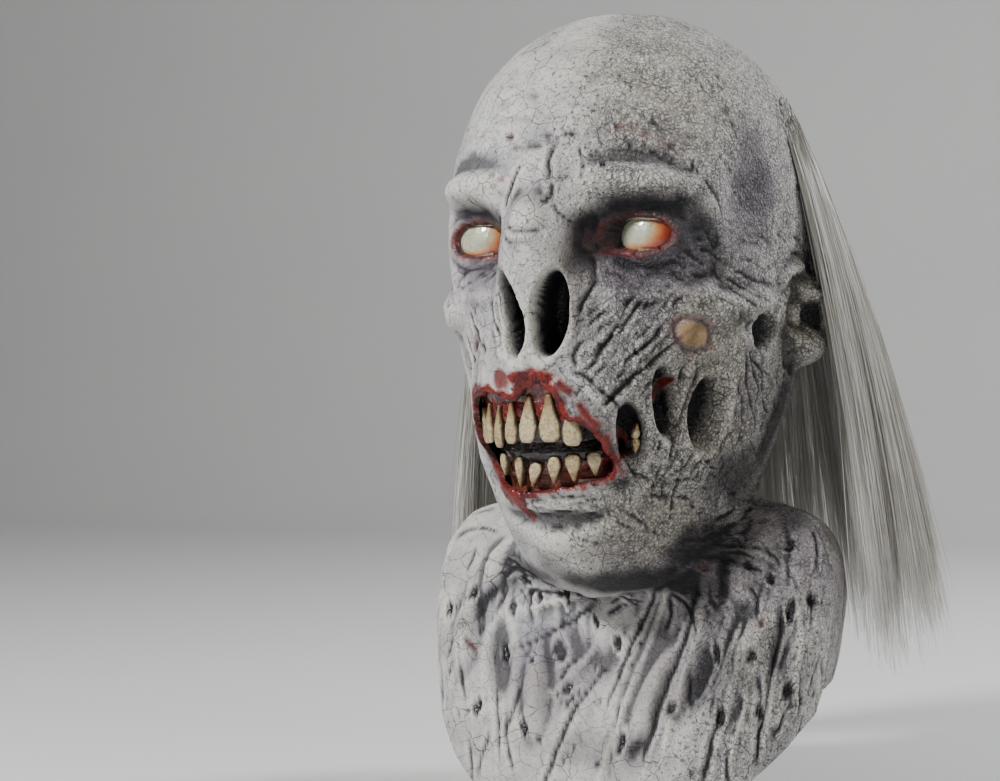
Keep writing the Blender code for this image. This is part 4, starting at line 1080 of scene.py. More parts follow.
def outline_distance(flat, outline):
    """Signed distance to an outline, below zero inside it, and the nearest places on it."""
    a = outline
    step = np.roll(outline, -1, 0) - a
    b = a + step
    rise = np.where(step[:, 1] == 0, 1e-12, step[:, 1])
    gaps, places = [], []
    for part in np.array_split(flat, max(1, len(flat) // 4000)):
        offset = part[:, None] - a[None]
        t = clip01((offset * step).sum(-1) / (step * step).sum(-1))
        nearest = a + step * t[..., None]
        gap = np.linalg.norm(part[:, None] - nearest, axis=-1)
        best = gap.argmin(1)
        pick = np.arange(len(part))
        crosses = (a[:, 1] <= part[:, 1:2]) != (b[:, 1] <= part[:, 1:2])
        meets = a[:, 0] + (part[:, 1:2] - a[:, 1]) * step[:, 0] / rise
        inside = (crosses & (part[:, 0:1] < meets)).sum(1) % 2 == 1
        gaps.append(np.where(inside, -1, 1) * gap[pick, best])
        places.append(nearest[pick, best])
    return np.concatenate(gaps), np.concatenate(places)


def scattered_lines(random, count, area, length, width, height, dark):
    """Seeded fine creases inside a region; area is around, around, down, down."""
    rows = []
    for _ in range(count):
        around = random.uniform(area[0], area[1])
        down = random.uniform(area[2], area[3])
        turn = random.uniform(area[4], area[5])
        reach = random.uniform(*length)
        rows.append((around, down, around + reach * math.cos(turn) / 1.6,
                     down + reach * math.sin(turn) / 550, random.uniform(-0.15, 0.15),
                     random.uniform(*width), -random.uniform(*height), dark, 0))
    return rows


def all_lines():
    """The drawn lines, with seeded fine creases that fill the skin between them."""
    random = np.random.default_rng(41)
    rows = list(LINES)
    for count, area, length, width, height, dark in CREASE_FIELDS:
        rows += scattered_lines(random, count, area, length, width, height, dark)
    return rows


def carve_lines(drawn, push, masks):
    for row in all_lines():
        width, height, dark, blood = row[5] * MM, row[6] * MM, row[7], row[8]
        track = bent_line(row)
        near = near_track(drawn, track, 4 * width)
        if not len(near):
            continue
        distance, share = line_distance(drawn[near], track)
        taper = ease(np.minimum(share, 1 - share) * 4 + 0.10)
        core = np.exp(-(distance / width) ** 2) * taper
        shoulder = np.exp(-((distance - 2.0 * width) / width) ** 2) * taper
        push[near] += height * core - (0.30 * height * shoulder if height < 0 else 0)
        # darker along the middle of each line, by its dark column
        groove_dark = np.exp(-(distance / (0.75 * width)) ** 2) * taper
        masks["dark"][near] = np.maximum(masks["dark"][near], dark * groove_dark)
        body = np.exp(-(distance / (1.3 * width)) ** 4) * taper
        masks["blood"][near] = np.maximum(masks["blood"][near], blood * body)
        if height > 0:
            masks["pale"][near] = np.maximum(masks["pale"][near], (1 - blood) * core)


def press_spots(drawn, push, masks):
    for around, down, half_width, half_height, tilt, deep, rim, dark, blood, bone in SPOTS:
        distance = oval_distance(drawn, around, down, half_width * MM, half_height * MM, tilt)
        bowl = ease((1.08 - distance) / 0.55)
        ring = np.exp(-((distance - 1.20) / 0.16) ** 2)
        push += deep * MM * bowl + rim * MM * ring
        masks["dark"] = np.maximum(masks["dark"], dark * ease((1.04 - distance) / 0.30))
        masks["blood"] = np.maximum(masks["blood"], blood * ease((1.30 - distance) / 0.35))
        masks["bone"] = np.maximum(masks["bone"], bone * ease((1.0 - distance) / 0.2))
        masks["wet"] = np.maximum(masks["wet"], max(dark, blood) * ease((1.1 - distance) / 0.3))
        masks["pale"] = np.maximum(masks["pale"], 0.8 * ring * (rim > 0))


def brush_paint(base, drawn, masks):
    blotch = uneven(base, 0.012, 5.0)
    fleck = uneven(base, 0.0035, 9.0)
    for kind, around, down, half_width, half_height, tilt, strength in PAINT:
        distance = oval_distance(drawn, around, down, half_width * MM, half_height * MM, tilt)
        edge = distance + 0.18 * blotch + (0.22 * fleck if kind == "blood" else 0.0)
        soft = {"blood": 0.35, "black": 0.50, "dark": 0.65, "bruise": 0.60}.get(kind, 0.85)
        masks[kind] = np.maximum(masks[kind], strength * ease((1.05 - edge) / soft))


def sculpt(base):
    """Fine push at each point and its painted masks, from the tables."""
    push = np.zeros(len(base))
    masks = {kind: np.zeros(len(base)) for kind in
             ("dark", "black", "blood", "bruise", "warm_tone_and_shade", "cool_tone_and_light", "bone", "wet", "pale")}
    drawn = wandering(wandering(base, 0.011, 1.3 * MM), 0.0038, 0.5 * MM)
    carve_lines(drawn, push, masks)
    press_spots(drawn, push, masks)
    for around, down, half_width, half_height, tilt, height, flat in SOFT_FORMS:
        distance = oval_distance(drawn, around, down, half_width * MM, half_height * MM, tilt)
        push += height * MM * ease((1 - distance) / (1 - flat))
    brush_paint(base, drawn, masks)
    return push, masks


def cave_paint(plain):
    """Black inside the deep pits of the nose, the cheeks and the ears."""
    paint = np.zeros(len(plain))
    for sides, around, down, wide, tall, tilt in CAVES:
        for sign in {"both": (1, -1), "left": (1,), "right": (-1,)}[sides]:
            distance = oval_distance(plain, sign * around, down, wide * HEAD_WIDTH,
                                     tall * HEAD_WIDTH, sign * tilt)
            paint = np.maximum(paint, ease((0.92 - distance) / 0.12))
    return paint


def lip_paint(gap, nearest):
    """Raw red flesh along the torn edge of the mouth, in MOUTH_FLESH's widths."""
    table = np.array(MOUTH_FLESH)
    x = nearest[:, 0] / (HEAD_WIDTH / 2)
    upper = nearest[:, 1] > WALL - MOUTH_MIDDLE * HEAD_HEIGHT
    width = np.where(upper, np.interp(x, table[:, 0], table[:, 1]),
                     np.interp(x, table[:, 0], table[:, 2])) * MM
    flat = np.stack((nearest[:, 0], nearest[:, 1], gap), 1)
    width = width * (1 + 0.45 * uneven(flat, 0.0045, 31.0))
    flesh = ease((width - gap) / (0.8 * MM) + 0.5)
    shadow = np.exp(-((gap - width - 0.5 * MM) / (0.6 * MM)) ** 2) * upper * (x > 0.12)
    return flesh, 0.85 * shadow


def relief_masks(outer, facing):
    """Which places stand proud of their surroundings and which are sunk."""
    rows = outer.shape[0]
    around_mean = sum(np.roll(outer, k, 1) for k in (-4, -3, -2, 2, 3, 4)) / 6
    padded = np.pad(outer, ((4, 4), (0, 0), (0, 0)), mode="edge")
    down_mean = sum(padded[4 + k:4 + k + rows] for k in (-4, -3, -2, 2, 3, 4)) / 6
    proud = ((outer - (around_mean + down_mean) / 2) * facing).sum(-1).ravel() / MM
    return clip01(proud / 0.50 - 0.15), clip01(-proud / 0.50 - 0.15)


def open_holes(points, facing, faces, outlines, front):
    """Faces left round the mouth and the lids, whose edges move onto the outlines."""
    keep = np.ones(len(faces), bool)
    row_of = np.full(len(points), -1)
    row_of[front] = np.arange(len(front))
    for outline in outlines:
        gap, nearest = outline_distance(points[front][:, (0, 2)], outline)
        gone = np.zeros(len(points), bool)
        gone[front[gap < 0]] = True
        removed = gone[faces].any(1)
        edge = np.unique(faces[removed])
        edge = edge[~gone[edge]]
        move = nearest[row_of[edge]] - points[edge][:, (0, 2)]
        slope = np.minimum(facing[edge, 1], -0.3)
        points[edge, 1] -= (facing[edge, 0] * move[:, 0] + facing[edge, 2] * move[:, 1]) / slope
        points[edge, 0] += move[:, 0]
        points[edge, 2] += move[:, 1]
        keep &= ~removed
    return keep


def loose_edges(faces):
    """Edges that only one face uses, in that face's direction."""
    edges = np.concatenate([faces[:, (k, (k + 1) % 4)] for k in range(4)])
    _, inverse, counts = np.unique(np.sort(edges, 1), axis=0, return_inverse=True,
                                   return_counts=True)
    return edges[counts[inverse.ravel()] == 1]


def rolled_edges(points, facing, lip):
    """Two rings behind each torn edge; the lids' rings come down onto the eyes."""
    edge = points[lip]
    rolled = edge - facing[lip] * 0.9 * MM
    seated = edge - facing[lip] * (WALL + 0.2 * MM)
    for sign in (1, -1):
        centre = eye_centre(sign)
        offset = edge - centre
        distance = np.linalg.norm(offset, axis=1, keepdims=True)
        direction = offset / distance * (0.95, 1, 0.92)
        direction /= np.linalg.norm(direction, axis=1, keepdims=True)
        on_eye = centre + direction * (EYE_DIAMETER / 2 + LID_SEAL)
        at_eye = distance < LID_REACH
        rolled = np.where(at_eye, on_eye * 0.45 + edge * 0.55, rolled)
        seated = np.where(at_eye, on_eye, seated)
    return rolled, seated


def inner_face(plain, normal, push, rows, columns, outlines, start):
    """A coarse inner face, always behind the deepest nearby relief."""
    deep = push.reshape(rows, columns)
    for axis in (0, 1):
        deep = np.min([np.roll(deep, k, axis) for k in range(-INNER_STEP, INNER_STEP + 1)], 0)
    pick_rows = np.unique(np.append(np.arange(0, rows, INNER_STEP), rows - 1))
    pick_columns = np.arange(0, columns, INNER_STEP)
    chosen = (pick_rows[:, None] * columns + pick_columns[None]).ravel()
    inner = plain[chosen] + normal[chosen] * (deep.ravel()[chosen] - WALL)[:, None]
    inner = round_eyes(inner, SEAT_GAP + LID_PLAY)
    count = len(pick_columns)
    faces = quad_rows(len(pick_rows), count)[:, ::-1]
    middles = inner[faces].mean(1)
    keep = np.ones(len(faces), bool)
    for outline in outlines:
        gap, _ = outline_distance(middles[:, (0, 2)], outline)
        keep &= ~((gap < 0.001) & (middles[:, 1] < -0.03))
    ring = np.arange(count)
    cap = np.stack((np.full(count, start + len(inner)), start + ring,
                    start + (ring + 1) % count), -1)
    faces = [tuple(f) for f in faces[keep] + start] + [tuple(f) for f in cap]
    return np.concatenate((inner, ((0.0, 0.0, 0.0),))), faces, start + (len(pick_rows) - 1) * count


def make_skin(mat):
    """The whole latex head and bib: dense outer face, coarse inner face, torn openings."""
    around, down = np.meshgrid(column_angles(), row_places())
    rows, columns = around.shape
    plain, normal = surface_and_normal(around, down)
    plain, normal = plain.reshape(-1, 3), normal.reshape(-1, 3)
    forms = form_push(plain)
    fine, masks = sculpt(plain)
    degrees = np.degrees(around).ravel()
    share = down.ravel()
    # the near side of the head is dried out most
    dry = ease((degrees + 8) / 52) * ease((140 - degrees) / 50)
    cracked = clip01(0.28 + 0.80 * dry - 0.40 * ease((share - 0.66) / 0.06))
    lumps = uneven(plain, 0.022, 1.0) * 0.6 + uneven(plain, 0.008, 2.0) * 0.28
    channel = np.exp(-(uneven(plain, 0.0046, 3.0) / 0.12) ** 2)
    fine = (fine + MM * (lumps - 0.28 * channel * cracked)) * ease(share / 0.02)
    points = round_eyes(plain + normal * (forms + fine)[:, None], SEAT_GAP + LID_PLAY + WALL)
    outer = points.reshape(rows, columns, 3)
    facing = np.cross(np.gradient(outer, axis=0), np.roll(outer, -1, 1) - np.roll(outer, 1, 1))
    facing /= np.maximum(np.linalg.norm(facing, axis=-1, keepdims=True), 1e-12)
    raised, sunk = relief_masks(outer, facing)
    facing = facing.reshape(-1, 3)
    cave = cave_paint(plain)

    front = np.nonzero((points[:, 1] < -EYE_SETBACK) & (share < 0.70) & (share > 0.20))[0]
    outlines = [mouth_outline(), lid_outline(1), lid_outline(-1)]
    gap, nearest = outline_distance(points[front][:, (0, 2)], outlines[0])
    close = (gap > -0.004) & (gap < 0.02)
    flesh, shadow = lip_paint(np.maximum(gap[close], 0), nearest[close])
    lips = front[close]
    masks["blood"][lips] = np.maximum(masks["blood"][lips], flesh)
    masks["dark"][lips] = np.maximum(masks["dark"][lips], shadow)
    points[lips] += facing[lips] * (flesh * 0.7 * MM)[:, None]
    eye_gap = np.full(len(points), 9.0)
    for outline in outlines[1:]:
        distance, _ = outline_distance(points[front][:, (0, 2)], outline)
        eye_gap[front] = np.minimum(eye_gap[front], distance)
    lid_red = ease((2.6 * MM - eye_gap) / (1.8 * MM))

    faces = quad_rows(rows, columns)
    keep = open_holes(points, facing, faces, outlines, front)
    hem_start = (rows - 1) * columns
    loose = loose_edges(faces[keep])
    loose = loose[~((loose >= hem_start).all(1)) & ~((loose < columns).all(1))]
    lip = np.unique(loose)
    crown = len(points)
    inner, inner_faces, inner_hem = inner_face(plain, normal, forms + fine, rows, columns,
                                               outlines, crown + 1)
    first = crown + 1 + len(inner)
    second = first + len(lip)
    index = np.zeros(len(points), int)
    index[lip] = np.arange(len(lip))
    torn = []
    for a, b in loose:
        torn.append((b, a, first + index[a], first + index[b]))
        torn.append((first + index[b], first + index[a], second + index[a], second + index[b]))
    cap = [(crown, (c + 1) % columns, c) for c in range(columns)]
    inner_count = len(range(0, columns, INNER_STEP))
    hem = []
    for column in range(columns):
        after = (column + 1) % columns
        own = inner_hem + round(column / INNER_STEP) % inner_count
        next_own = inner_hem + round((column + 1) / INNER_STEP) % inner_count
        corners = (hem_start + after, hem_start + column, own)
        hem.append(corners if own == next_own else corners + (next_own,))

    rolled, seated = rolled_edges(points, facing, lip)
    everything = np.concatenate((points, ((0.0, 0.0, WALL),), inner, rolled, seated))
    edge_count = 2 * len(lip)
    spare = len(everything) - len(points) - edge_count
    lips_red = np.tile(np.where(masks["blood"][lip] > 0.3, 0.95, 0.55), 2)
    to_eye = np.min([np.linalg.norm(points[lip] - eye_centre(sign), axis=1) for sign in (1, -1)], 0)
    to_eye = np.tile(to_eye, 2)
    lids = to_eye < LID_REACH
    corner = ease((to_eye - EYE_DIAMETER / 2 - 0.0035) / 0.003)

    def full(mask, inside, at_edge):
        return np.concatenate((mask, np.full(spare, inside, float),
                               np.broadcast_to(at_edge, (edge_count,))))

    blood = clip01(np.maximum(masks["blood"], 0.8 * lid_red))
    # one dark channel from the dark and black paint masks and the sunk places: partly the mask's dark
    # wash, partly painted shade, the sunk places standing for shade in hollows
    wash_and_shade = clip01(np.maximum(0.92 * masks["dark"], masks["black"]) + 0.75 * sunk)
    wash_and_shade = np.maximum(wash_and_shade * (1 - 0.55 * blood), cave * (1 - 0.85 * masks["blood"]))
    cracked = cracked * (1 - 0.8 * blood) * (1 - masks["bone"])
    raised = clip01(0.8 * raised + masks["pale"]) * (1 - 0.85 * blood)
    painted_masks = {
        # the torn edges' rolled rings painted darker, and the lids darker still at the corners where
        # they leave the eye: painted shade
        "washes_and_shade": (full(wash_and_shade, 0.12, np.where(lids, 0.15 + 0.8 * corner, 0.35)),
                   full(blood, 0.0, np.where(lids, 0.9, lips_red)),
                   full(masks["bruise"], 0.0, 0.0)),
        "finish": (full(masks["bone"], 0.25, 0.0), full(cracked, 0.0, 0.0),
                   full(clip01(masks["wet"] + cave + blood), 0.0, 0.95)),
        # warm and cool tones: partly paint tone, partly painted light and shade
        "tones": (full(raised, 0.0, 0.0), full(masks["warm_tone_and_shade"], 0.5, 0.0),
                  full(masks["cool_tone_and_light"], 0.0, 0.0)),
    }
    every_face = [tuple(f) for part in (cap, faces[keep], inner_faces, torn, hem) for f in part]
    skin = new_piece("latex_skin", everything, every_face, mat)
    for layer, three in painted_masks.items():
        paint_points(skin, layer, *three)
    seat(skin, "skin", "skin")


def make_eyes(mat):
    """Smooth glazed balls, milky in the middle and inflamed towards the lids."""
    for name, sign in (("left", 1), ("right", -1)):
        centre = eye_centre(sign)
        turns, rings = 96, 56
        spin, rise = np.meshgrid(np.linspace(0, 2 * math.pi, turns, endpoint=False),
                                 np.linspace(0, math.pi, rings + 1)[1:-1])
        unit = np.stack((np.sin(rise) * np.cos(spin), -np.cos(rise), np.sin(rise) * np.sin(spin)), -1)
        points = centre + unit.reshape(-1, 3) * EYE_DIAMETER / 2
        poles = (centre + (0, -EYE_DIAMETER / 2, 0), centre + (0, EYE_DIAMETER / 2, 0))
        points = np.concatenate((points, poles))
        faces = [tuple(f) for f in quad_rows(rings - 1, turns)]
        last = (rings - 2) * turns
        front_pole, back_pole = len(points) - 2, len(points) - 1
        for turn in range(turns):
            after = (turn + 1) % turns
            faces.append((front_pole, after, turn))
            faces.append((back_pole, last + turn, last + after))
        eye = new_piece("eye_ball_" + name, points, faces, mat)
        wide = (points[:, 0] - centre[0]) / (LID_WIDTH / 2)
        tall = (points[:, 2] - centre[2]) / (LID_HEIGHT / 2)
        rim = clip01((np.hypot((wide + 0.36) * 0.80, (tall - 0.30) * 0.72) - 0.40) / 0.62)
        reach = np.hypot(wide, tall)
        haze = clip01(1 - np.hypot((wide + 0.10) / 0.5, (tall - 0.2) / 0.6))
        paint_points(eye, "eye_paint", rim, clip01(reach), haze)
        seat(eye, "eye", "eye_" + name)


def lining_depth(around_degrees, down):
    """How far the front of the mouth's lining lies behind the outer skin."""
    table = np.array(LINING_PROFILE)
    profile = (np.interp(down, table[:, 0], table[:, 1]) * (TOOTH_DEPTH + SEAT_GAP)
               + np.interp(down, table[:, 0], table[:, 2]) * MOUTH_DEPTH)
    span = LINING_LEFT - LINING_RIGHT
    to_end = np.minimum(LINING_LEFT - around_degrees, around_degrees - LINING_RIGHT) / span
    part = clip01(to_end / LINING_EASE)
    return WALL + SEAT_GAP + profile * part * (2 - part)


def make_lining(mat):
    """Gums that swell between the teeth, and the wet black behind them."""
    degrees, down = np.meshgrid(np.linspace(LINING_RIGHT + 1, LINING_LEFT - 1, 150),
                                np.linspace(LINING_PROFILE[0][0] + 0.004,
                                            LINING_PROFILE[-1][0] - 0.004, 76))
    depth = lining_depth(degrees, down)
    gum = np.zeros(depth.shape)
    for teeth, upper in ((UPPER_TEETH, True), (LOWER_TEETH, False)):
        places = np.array([row[0] for row in teeth])
        halves = np.array([row[3] for row in teeth]) * HEAD_WIDTH / 0.55 / 2
        middles = np.array([row[1] for row in teeth])
        roots = middles - halves * 0.42 if upper else middles + halves * 0.42
        line = np.interp(degrees, places, roots)
        close = np.min(np.abs(degrees[..., None] - places), -1)
        notch = 0.010 * clip01(close / 3.2)
        line = line + notch if upper else line - notch
        past = (line - down) if upper else (down - line)
        gum = np.maximum(gum, ease(past / 0.006 + 0.5) * ease((0.060 - past) / 0.02))
    depth = depth - gum * 0.0022
    angle = np.radians(degrees)
    front = skin_points(angle, down, depth)
    front = front + 0.0004 * uneven(front, 0.004, 21.0)[..., None]
    rear = skin_points(angle, down, lining_depth(degrees, down) + LINING_WALL)
    rows, columns = angle.shape
    rear_start = rows * columns
    points = np.concatenate((front.reshape(-1, 3), rear.reshape(-1, 3)))
    faces = [tuple(f) for f in quad_rows(rows, columns, 0, False)]
    faces += [tuple(f[::-1]) for f in quad_rows(rows, columns, rear_start, False)]
    border = ([(0, c) for c in range(columns)] + [(r, columns - 1) for r in range(1, rows)]
              + [(rows - 1, c) for c in range(columns - 2, -1, -1)]
              + [(r, 0) for r in range(rows - 2, 0, -1)])
    ring = [r * columns + c for r, c in border]
    for i, here in enumerate(ring):
        after = ring[(i + 1) % len(ring)]
        faces.append((after, here, rear_start + here, rear_start + after))
    lining = new_piece("wet_mouth_lining", points, faces, mat)
    low = ease((down - 0.53) / 0.01) * gum
    paint_points(lining, "mouth_paint", gum.ravel(), (low * 0.35).ravel(), gum.ravel())
    seat(lining, "mouth", "mouth_lining")


def make_tooth(name, row, mat, behind, upper, random):
    """One tooth: long narrow root, broad crown, blunt worn edge."""
    around, down, width, height, lean = row
    front = skin_points(math.radians(around), down, behind)
    _, sideways, upwards, outward = local_frame(around, down)
    turn = math.radians(lean)
    across = sideways * math.cos(turn) - upwards * math.sin(turn)
    along = upwards * math.cos(turn) + sideways * math.sin(turn)
    to_root = along if upper else -along
    rings, sides = 18, 20
    wear = random.uniform(0.82, 0.98)
    bend = random.uniform(-0.06, 0.06)
    points, root, side_dark = [], [], []
    for ring in range(rings):
        share = ring / (rings - 1)                  # 0 at the root, 1 at the edge
        wide = np.interp(share, (0, .12, .35, .66, .90, 1), (.26, .36, .62, 1.0, wear, .62 * wear))
        thick = np.interp(share, (0, .2, .5, .8, 1), (.72, .84, 1.0, .74, .34))
        for side in range(sides):
            angle = 2 * math.pi * side / sides
            x = math.copysign(abs(math.cos(angle)) ** 0.75, math.cos(angle)) * wide
            y = math.copysign(abs(math.sin(angle)) ** 0.75, math.sin(angle)) * thick
            chip = 0.05 * noise.noise(Vector((around + 3 * x, share * 4, 2 * y)))
            place_at = (front + across * ((x / 2 + bend * math.sin(share * 3)) * width * HEAD_WIDTH)
                        + outward * (((y + chip) / 2 - 0.5) * TOOTH_DEPTH)
                        + to_root * ((0.5 - share + 0.4 * chip * share) * height * HEAD_WIDTH))
            points.append(place_at)
            root.append(clip01(1.0 - share * 1.7 + 5 * chip))
            # darker towards the tooth's sides, where it meets its neighbours
            side_dark.append(clip01(abs(x) / max(wide, .1) * 1.5 - 0.75 + 5 * chip))
    faces = [tuple(f) for f in quad_rows(rings, sides)]
    points.append(np.mean(points[:sides], 0))
    points.append(np.mean(points[-1 - sides:-1], 0) - to_root * 0.0003)
    for side in range(sides):
        after = (side + 1) % sides
        faces.append((rings * sides, after, side))
        faces.append((rings * sides + 1, (rings - 1) * sides + side, (rings - 1) * sides + after))
    tooth = new_piece("enamel_" + name, points, faces, mat)
    tone = random.uniform(0.0, 0.6)
    paint_points(tooth, "tooth_paint", np.array(root + [1, 0]), np.array(side_dark + [0, 0]),
                 np.full(len(points), tone))
    seat(tooth, "tooth", name)


def make_teeth(mat):
    random = np.random.default_rng(5)
    seated = WALL + SEAT_GAP
    for i, row in enumerate(UPPER_TEETH):
        make_tooth("tooth_upper_%02d" % (i + 1), row, mat, seated, True, random)
    for i, row in enumerate(LOWER_TEETH):
        make_tooth("tooth_lower_%02d" % (i + 1), row, mat, seated - LOWER_FORWARD, False, random)
    proud = -TOOTH_DEPTH * (1 + WINDOW_LIFT) - SEAT_GAP
    for i, row in enumerate(WINDOW_TEETH):
        make_tooth("tooth_window_%02d" % (i + 1), row, mat, proud, i == 0, random)


def hair_tracks(rows, places, root_down, share):
    """Strand centre lines at places between the rows of a lock table."""
    table = np.array(rows, float)
    ends = 2 * table[0] - table[1], 2 * table[-1] - table[-2]
    ends = [np.append(end[:1], np.clip(end[1:], table[:, 1:].min(0), table[:, 1:].max(0)))
            for end in ends]
    table = np.vstack((ends[0], table, ends[1]))
    at = np.arange(-1, len(rows) + 1)
    around, side, back, fall, bow = (np.interp(places, at, table[:, k]) for k in range(5))
    root, normal = surface_and_normal(np.radians(around), root_down)
    root = root + normal * (form_push(root) + 0.4 * MM)[:, None]
    outward = normal * (1, 1, 0)
    outward /= np.linalg.norm(outward, axis=1, keepdims=True)
    tip = np.stack((side * HAIR_REACH, back * HAIR_REACH, WALL - fall * HAIR_FALL), -1)
    lift = (bow * HAIR_REACH)[:, None]
    shoulder = root * 0.75 + tip * 0.25 + outward * lift
    knee = root * 0.35 + tip * 0.65 + outward * lift * 0.8
    t = share[..., None]
    return ((1 - t) ** 3 * root[:, None] + 3 * (1 - t) ** 2 * t * shoulder[:, None]
            + 3 * (1 - t) * t ** 2 * knee[:, None] + t ** 3 * tip[:, None]), outward


def make_hair(name, rows, count, mat, seed):
    """Thousands of fine flat strands, drawn together into uneven locks."""
    random = np.random.default_rng(seed)
    joints = 12
    clumps = max(8, count // 70)
    last = len(rows) - 1
    home = np.sort(random.uniform(-0.75, last + 0.75, clumps))
    member = random.integers(0, clumps, count)
    places = np.clip(home[member] + random.normal(0, 0.16, count), -0.95, last + 0.95)
    strip_edge = STRIP_TOP - 0.012 + random.uniform(-0.012, 0.020, clumps)[member]
    root_down = strip_edge + random.random(count) * (STRIP_LOW - strip_edge)
    reach = np.where(random.random(count) < 0.25, random.uniform(0.50, 0.90, count),
                     random.uniform(0.86, 1.02, count))
    reach = reach * random.uniform(0.84, 1.0, clumps)[member]
    share = np.linspace(0, 1, joints)[None] * reach[:, None]
    own, outward = hair_tracks(rows, places, root_down, share)
    lead_share = np.linspace(0, 1, joints)[None] * reach[:, None]
    lead, _ = hair_tracks(rows, home[member], root_down, lead_share)
    pull = (0.72 * ease(share / 0.8) * random.uniform(0.55, 1.0, count)[:, None])[..., None]
    track = own * (1 - pull) + lead * pull
    sideways = np.cross((0.0, 0.0, 1.0), outward)
    clump_side = np.clip(random.normal(0, 1, clumps), -2.0, 2.0)[member][:, None]
    clump_out = np.clip(random.normal(0, 1, clumps), -2.0, 1.5)[member][:, None]
    loose = np.where(random.random(count) < 0.06, 1.8, 1.0)[:, None]
    phase = random.uniform(0, 6.3, count)[:, None]
    wave = np.sin(share * random.uniform(3, 8, count)[:, None] + phase) * share
    stray_side = np.clip(random.normal(0, 3.0, count), -4, 4)[:, None] * loose
    stray_out = np.clip(random.normal(0, 2.4, count), -3, 2.4)[:, None] * loose
    slide = (clump_side * 8.0 + stray_side) * share + wave * 1.6 * loose
    swing = (clump_out * 4.5 + stray_out) * share + wave * 1.1
    track = track + (sideways[:, None] * slide[..., None] + outward[:, None] * swing[..., None]) * MM
    along = np.gradient(track, axis=1)
    along /= np.linalg.norm(along, axis=-1, keepdims=True)
    twist = random.uniform(-1.1, 1.1, count)[:, None]
    flat = sideways * np.cos(twist) + outward * np.sin(twist)
    across = np.cross(along, np.cross(flat[:, None], along))
    across /= np.linalg.norm(across, axis=-1, keepdims=True)
    width = random.uniform(0.16, 0.34, count)[:, None] * MM * (1 - 0.75 * (share / reach[:, None]) ** 2)
    left = track - across * width[..., None]
    right = track + across * width[..., None]
    points = np.stack((left, right), 2).reshape(-1, 3)
    base = (np.arange(count) * joints * 2)[:, None] + np.arange(joints - 1)[None] * 2
    faces = np.stack((base, base + 1, base + 3, base + 2), -1).reshape(-1, 4)
    hair = new_piece("strands_" + name, points, faces, mat)
    tone = clip01(random.normal(0.55, 0.24, count) + 0.15 * clump_side[:, 0])
    yellow = random.random(count) ** 2
    each = 2 * joints
    paint_points(hair, "strand", np.repeat(tone, each), np.repeat(yellow, each),
                 np.repeat(share.ravel(), 2))
    seat(hair, "hair", name)


def make_camera():
    """The photograph's view: a little below and to the left of the face."""
    azimuth, elevation, roll = math.radians(25), math.radians(-1), math.radians(-1)
    distance = 1.300
    focal = distance / 0.00053              # in pixels of a 1000 pixel wide picture
    target = Vector((0, 0, WALL - 0.147))
    falls_on = (631, 294)                   # pixel of the target
    back = Vector((math.sin(azimuth) * math.cos(elevation),
                   -math.cos(azimuth) * math.cos(elevation), math.sin(elevation)))
    right = (-back).cross(Vector((0, 0, 1))).normalized()
    up = right.cross(-back)
    right, up = (math.cos(roll) * right + math.sin(roll) * up,
                 math.cos(roll) * up - math.sin(roll) * right)
    aim = (-back - (falls_on[0] - 500) / focal * right
           + (falls_on[1] - 390.5) / focal * up).normalized()
    right = (right - right.dot(aim) * aim).normalized()
    up = right.cross(aim)
    data = bpy.data.cameras.new("camera")
    data.sensor_width = 36
    data.lens = focal * 36 / 1000
    camera = bpy.data.objects.new("camera", data)
    bpy.context.scene.collection.objects.link(camera)
    turn = Matrix((right, up, -aim)).transposed().to_4x4()
    camera.matrix_world = Matrix.Translation(target + back * distance) @ turn
    bpy.context.scene.camera = camera


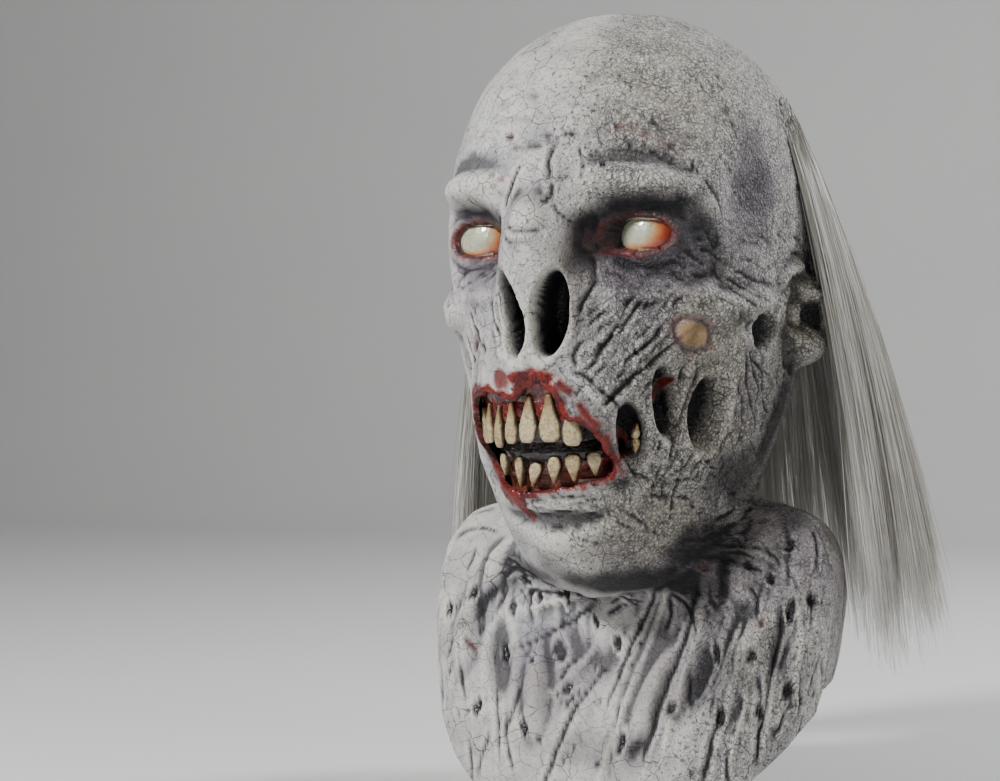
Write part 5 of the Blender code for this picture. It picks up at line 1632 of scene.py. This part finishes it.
def soft_light(name, place_at, aim, size, power, colour):
    data = bpy.data.lights.new(name, "AREA")
    data.shape = "DISK"
    data.size = size
    data.energy = power
    data.color = colour
    lamp = bpy.data.objects.new(name, data)
    lamp.location = place_at
    lamp.rotation_euler = (Vector(place_at) - Vector(aim)).to_track_quat("Z", "Y").to_euler()
    bpy.context.scene.collection.objects.link(lamp)


def make_studio():
    """Pale sweep, pale surroundings and soft lamps."""
    middle = (0, -0.02, -0.17)
    soft_light("key", (-0.62, -1.35, 0.85), middle, 0.36, 46, (1.0, 0.995, 0.985))
    soft_light("side", (1.30, -0.30, 0.45), middle, 0.5, 4, (1.0, 0.93, 0.82))
    soft_light("rim", (0.9, 1.0, 0.8), middle, 0.5, 28, (0.96, 0.98, 1.0))
    world = bpy.data.worlds.new("pale_room")
    world.use_nodes = True
    world.node_tree.nodes["Background"].inputs["Color"].default_value = (0.80, 0.80, 0.82, 1)
    world.node_tree.nodes["Background"].inputs["Strength"].default_value = 0.17
    bpy.context.scene.world = world
    low = cad_box[0].z - 0.002
    reach, back, curve = 3.0, 1.6, 0.5
    profile = [(-reach, low), (back, low)]
    for step in range(1, 13):
        angle = math.pi / 2 * step / 12
        profile.append((back + curve * math.sin(angle), low + curve * (1 - math.cos(angle))))
    profile.append((back + curve, low + 3.0))
    points = [(x, y, z) for y, z in profile for x in (-reach, reach)]
    faces = [(2 * i, 2 * i + 1, 2 * i + 3, 2 * i + 2) for i in range(len(profile) - 1)]
    mat, tree, shader = new_material("pale_floor")
    grain = noise_at(tree, object_place(tree), 6.0, 3.0)
    pale = blend(tree, grain.outputs["Fac"], (0.66, 0.66, 0.66), (0.70, 0.70, 0.69))
    feed(tree, shader["Base Color"], pale)
    shader["Roughness"].default_value = 0.8
    new_piece("studio_floor", points, faces, mat)


def main():
    groups = {"crackle": make_crackle(), "worms": make_worms(), "mottle": make_mottle()}
    make_camera()
    make_studio()
    make_skin(latex_material(groups))
    make_eyes(eye_material(groups))
    make_lining(mouth_material(groups))
    make_teeth(tooth_material(groups))
    mat = hair_material(groups)
    make_hair("hair_left", LEFT_LOCKS, 8000, mat, 61)
    make_hair("hair_right", RIGHT_LOCKS, 5200, mat, 62)
    make_hair("hair_back", BACK_LOCKS, 6200, mat, 63)


main()
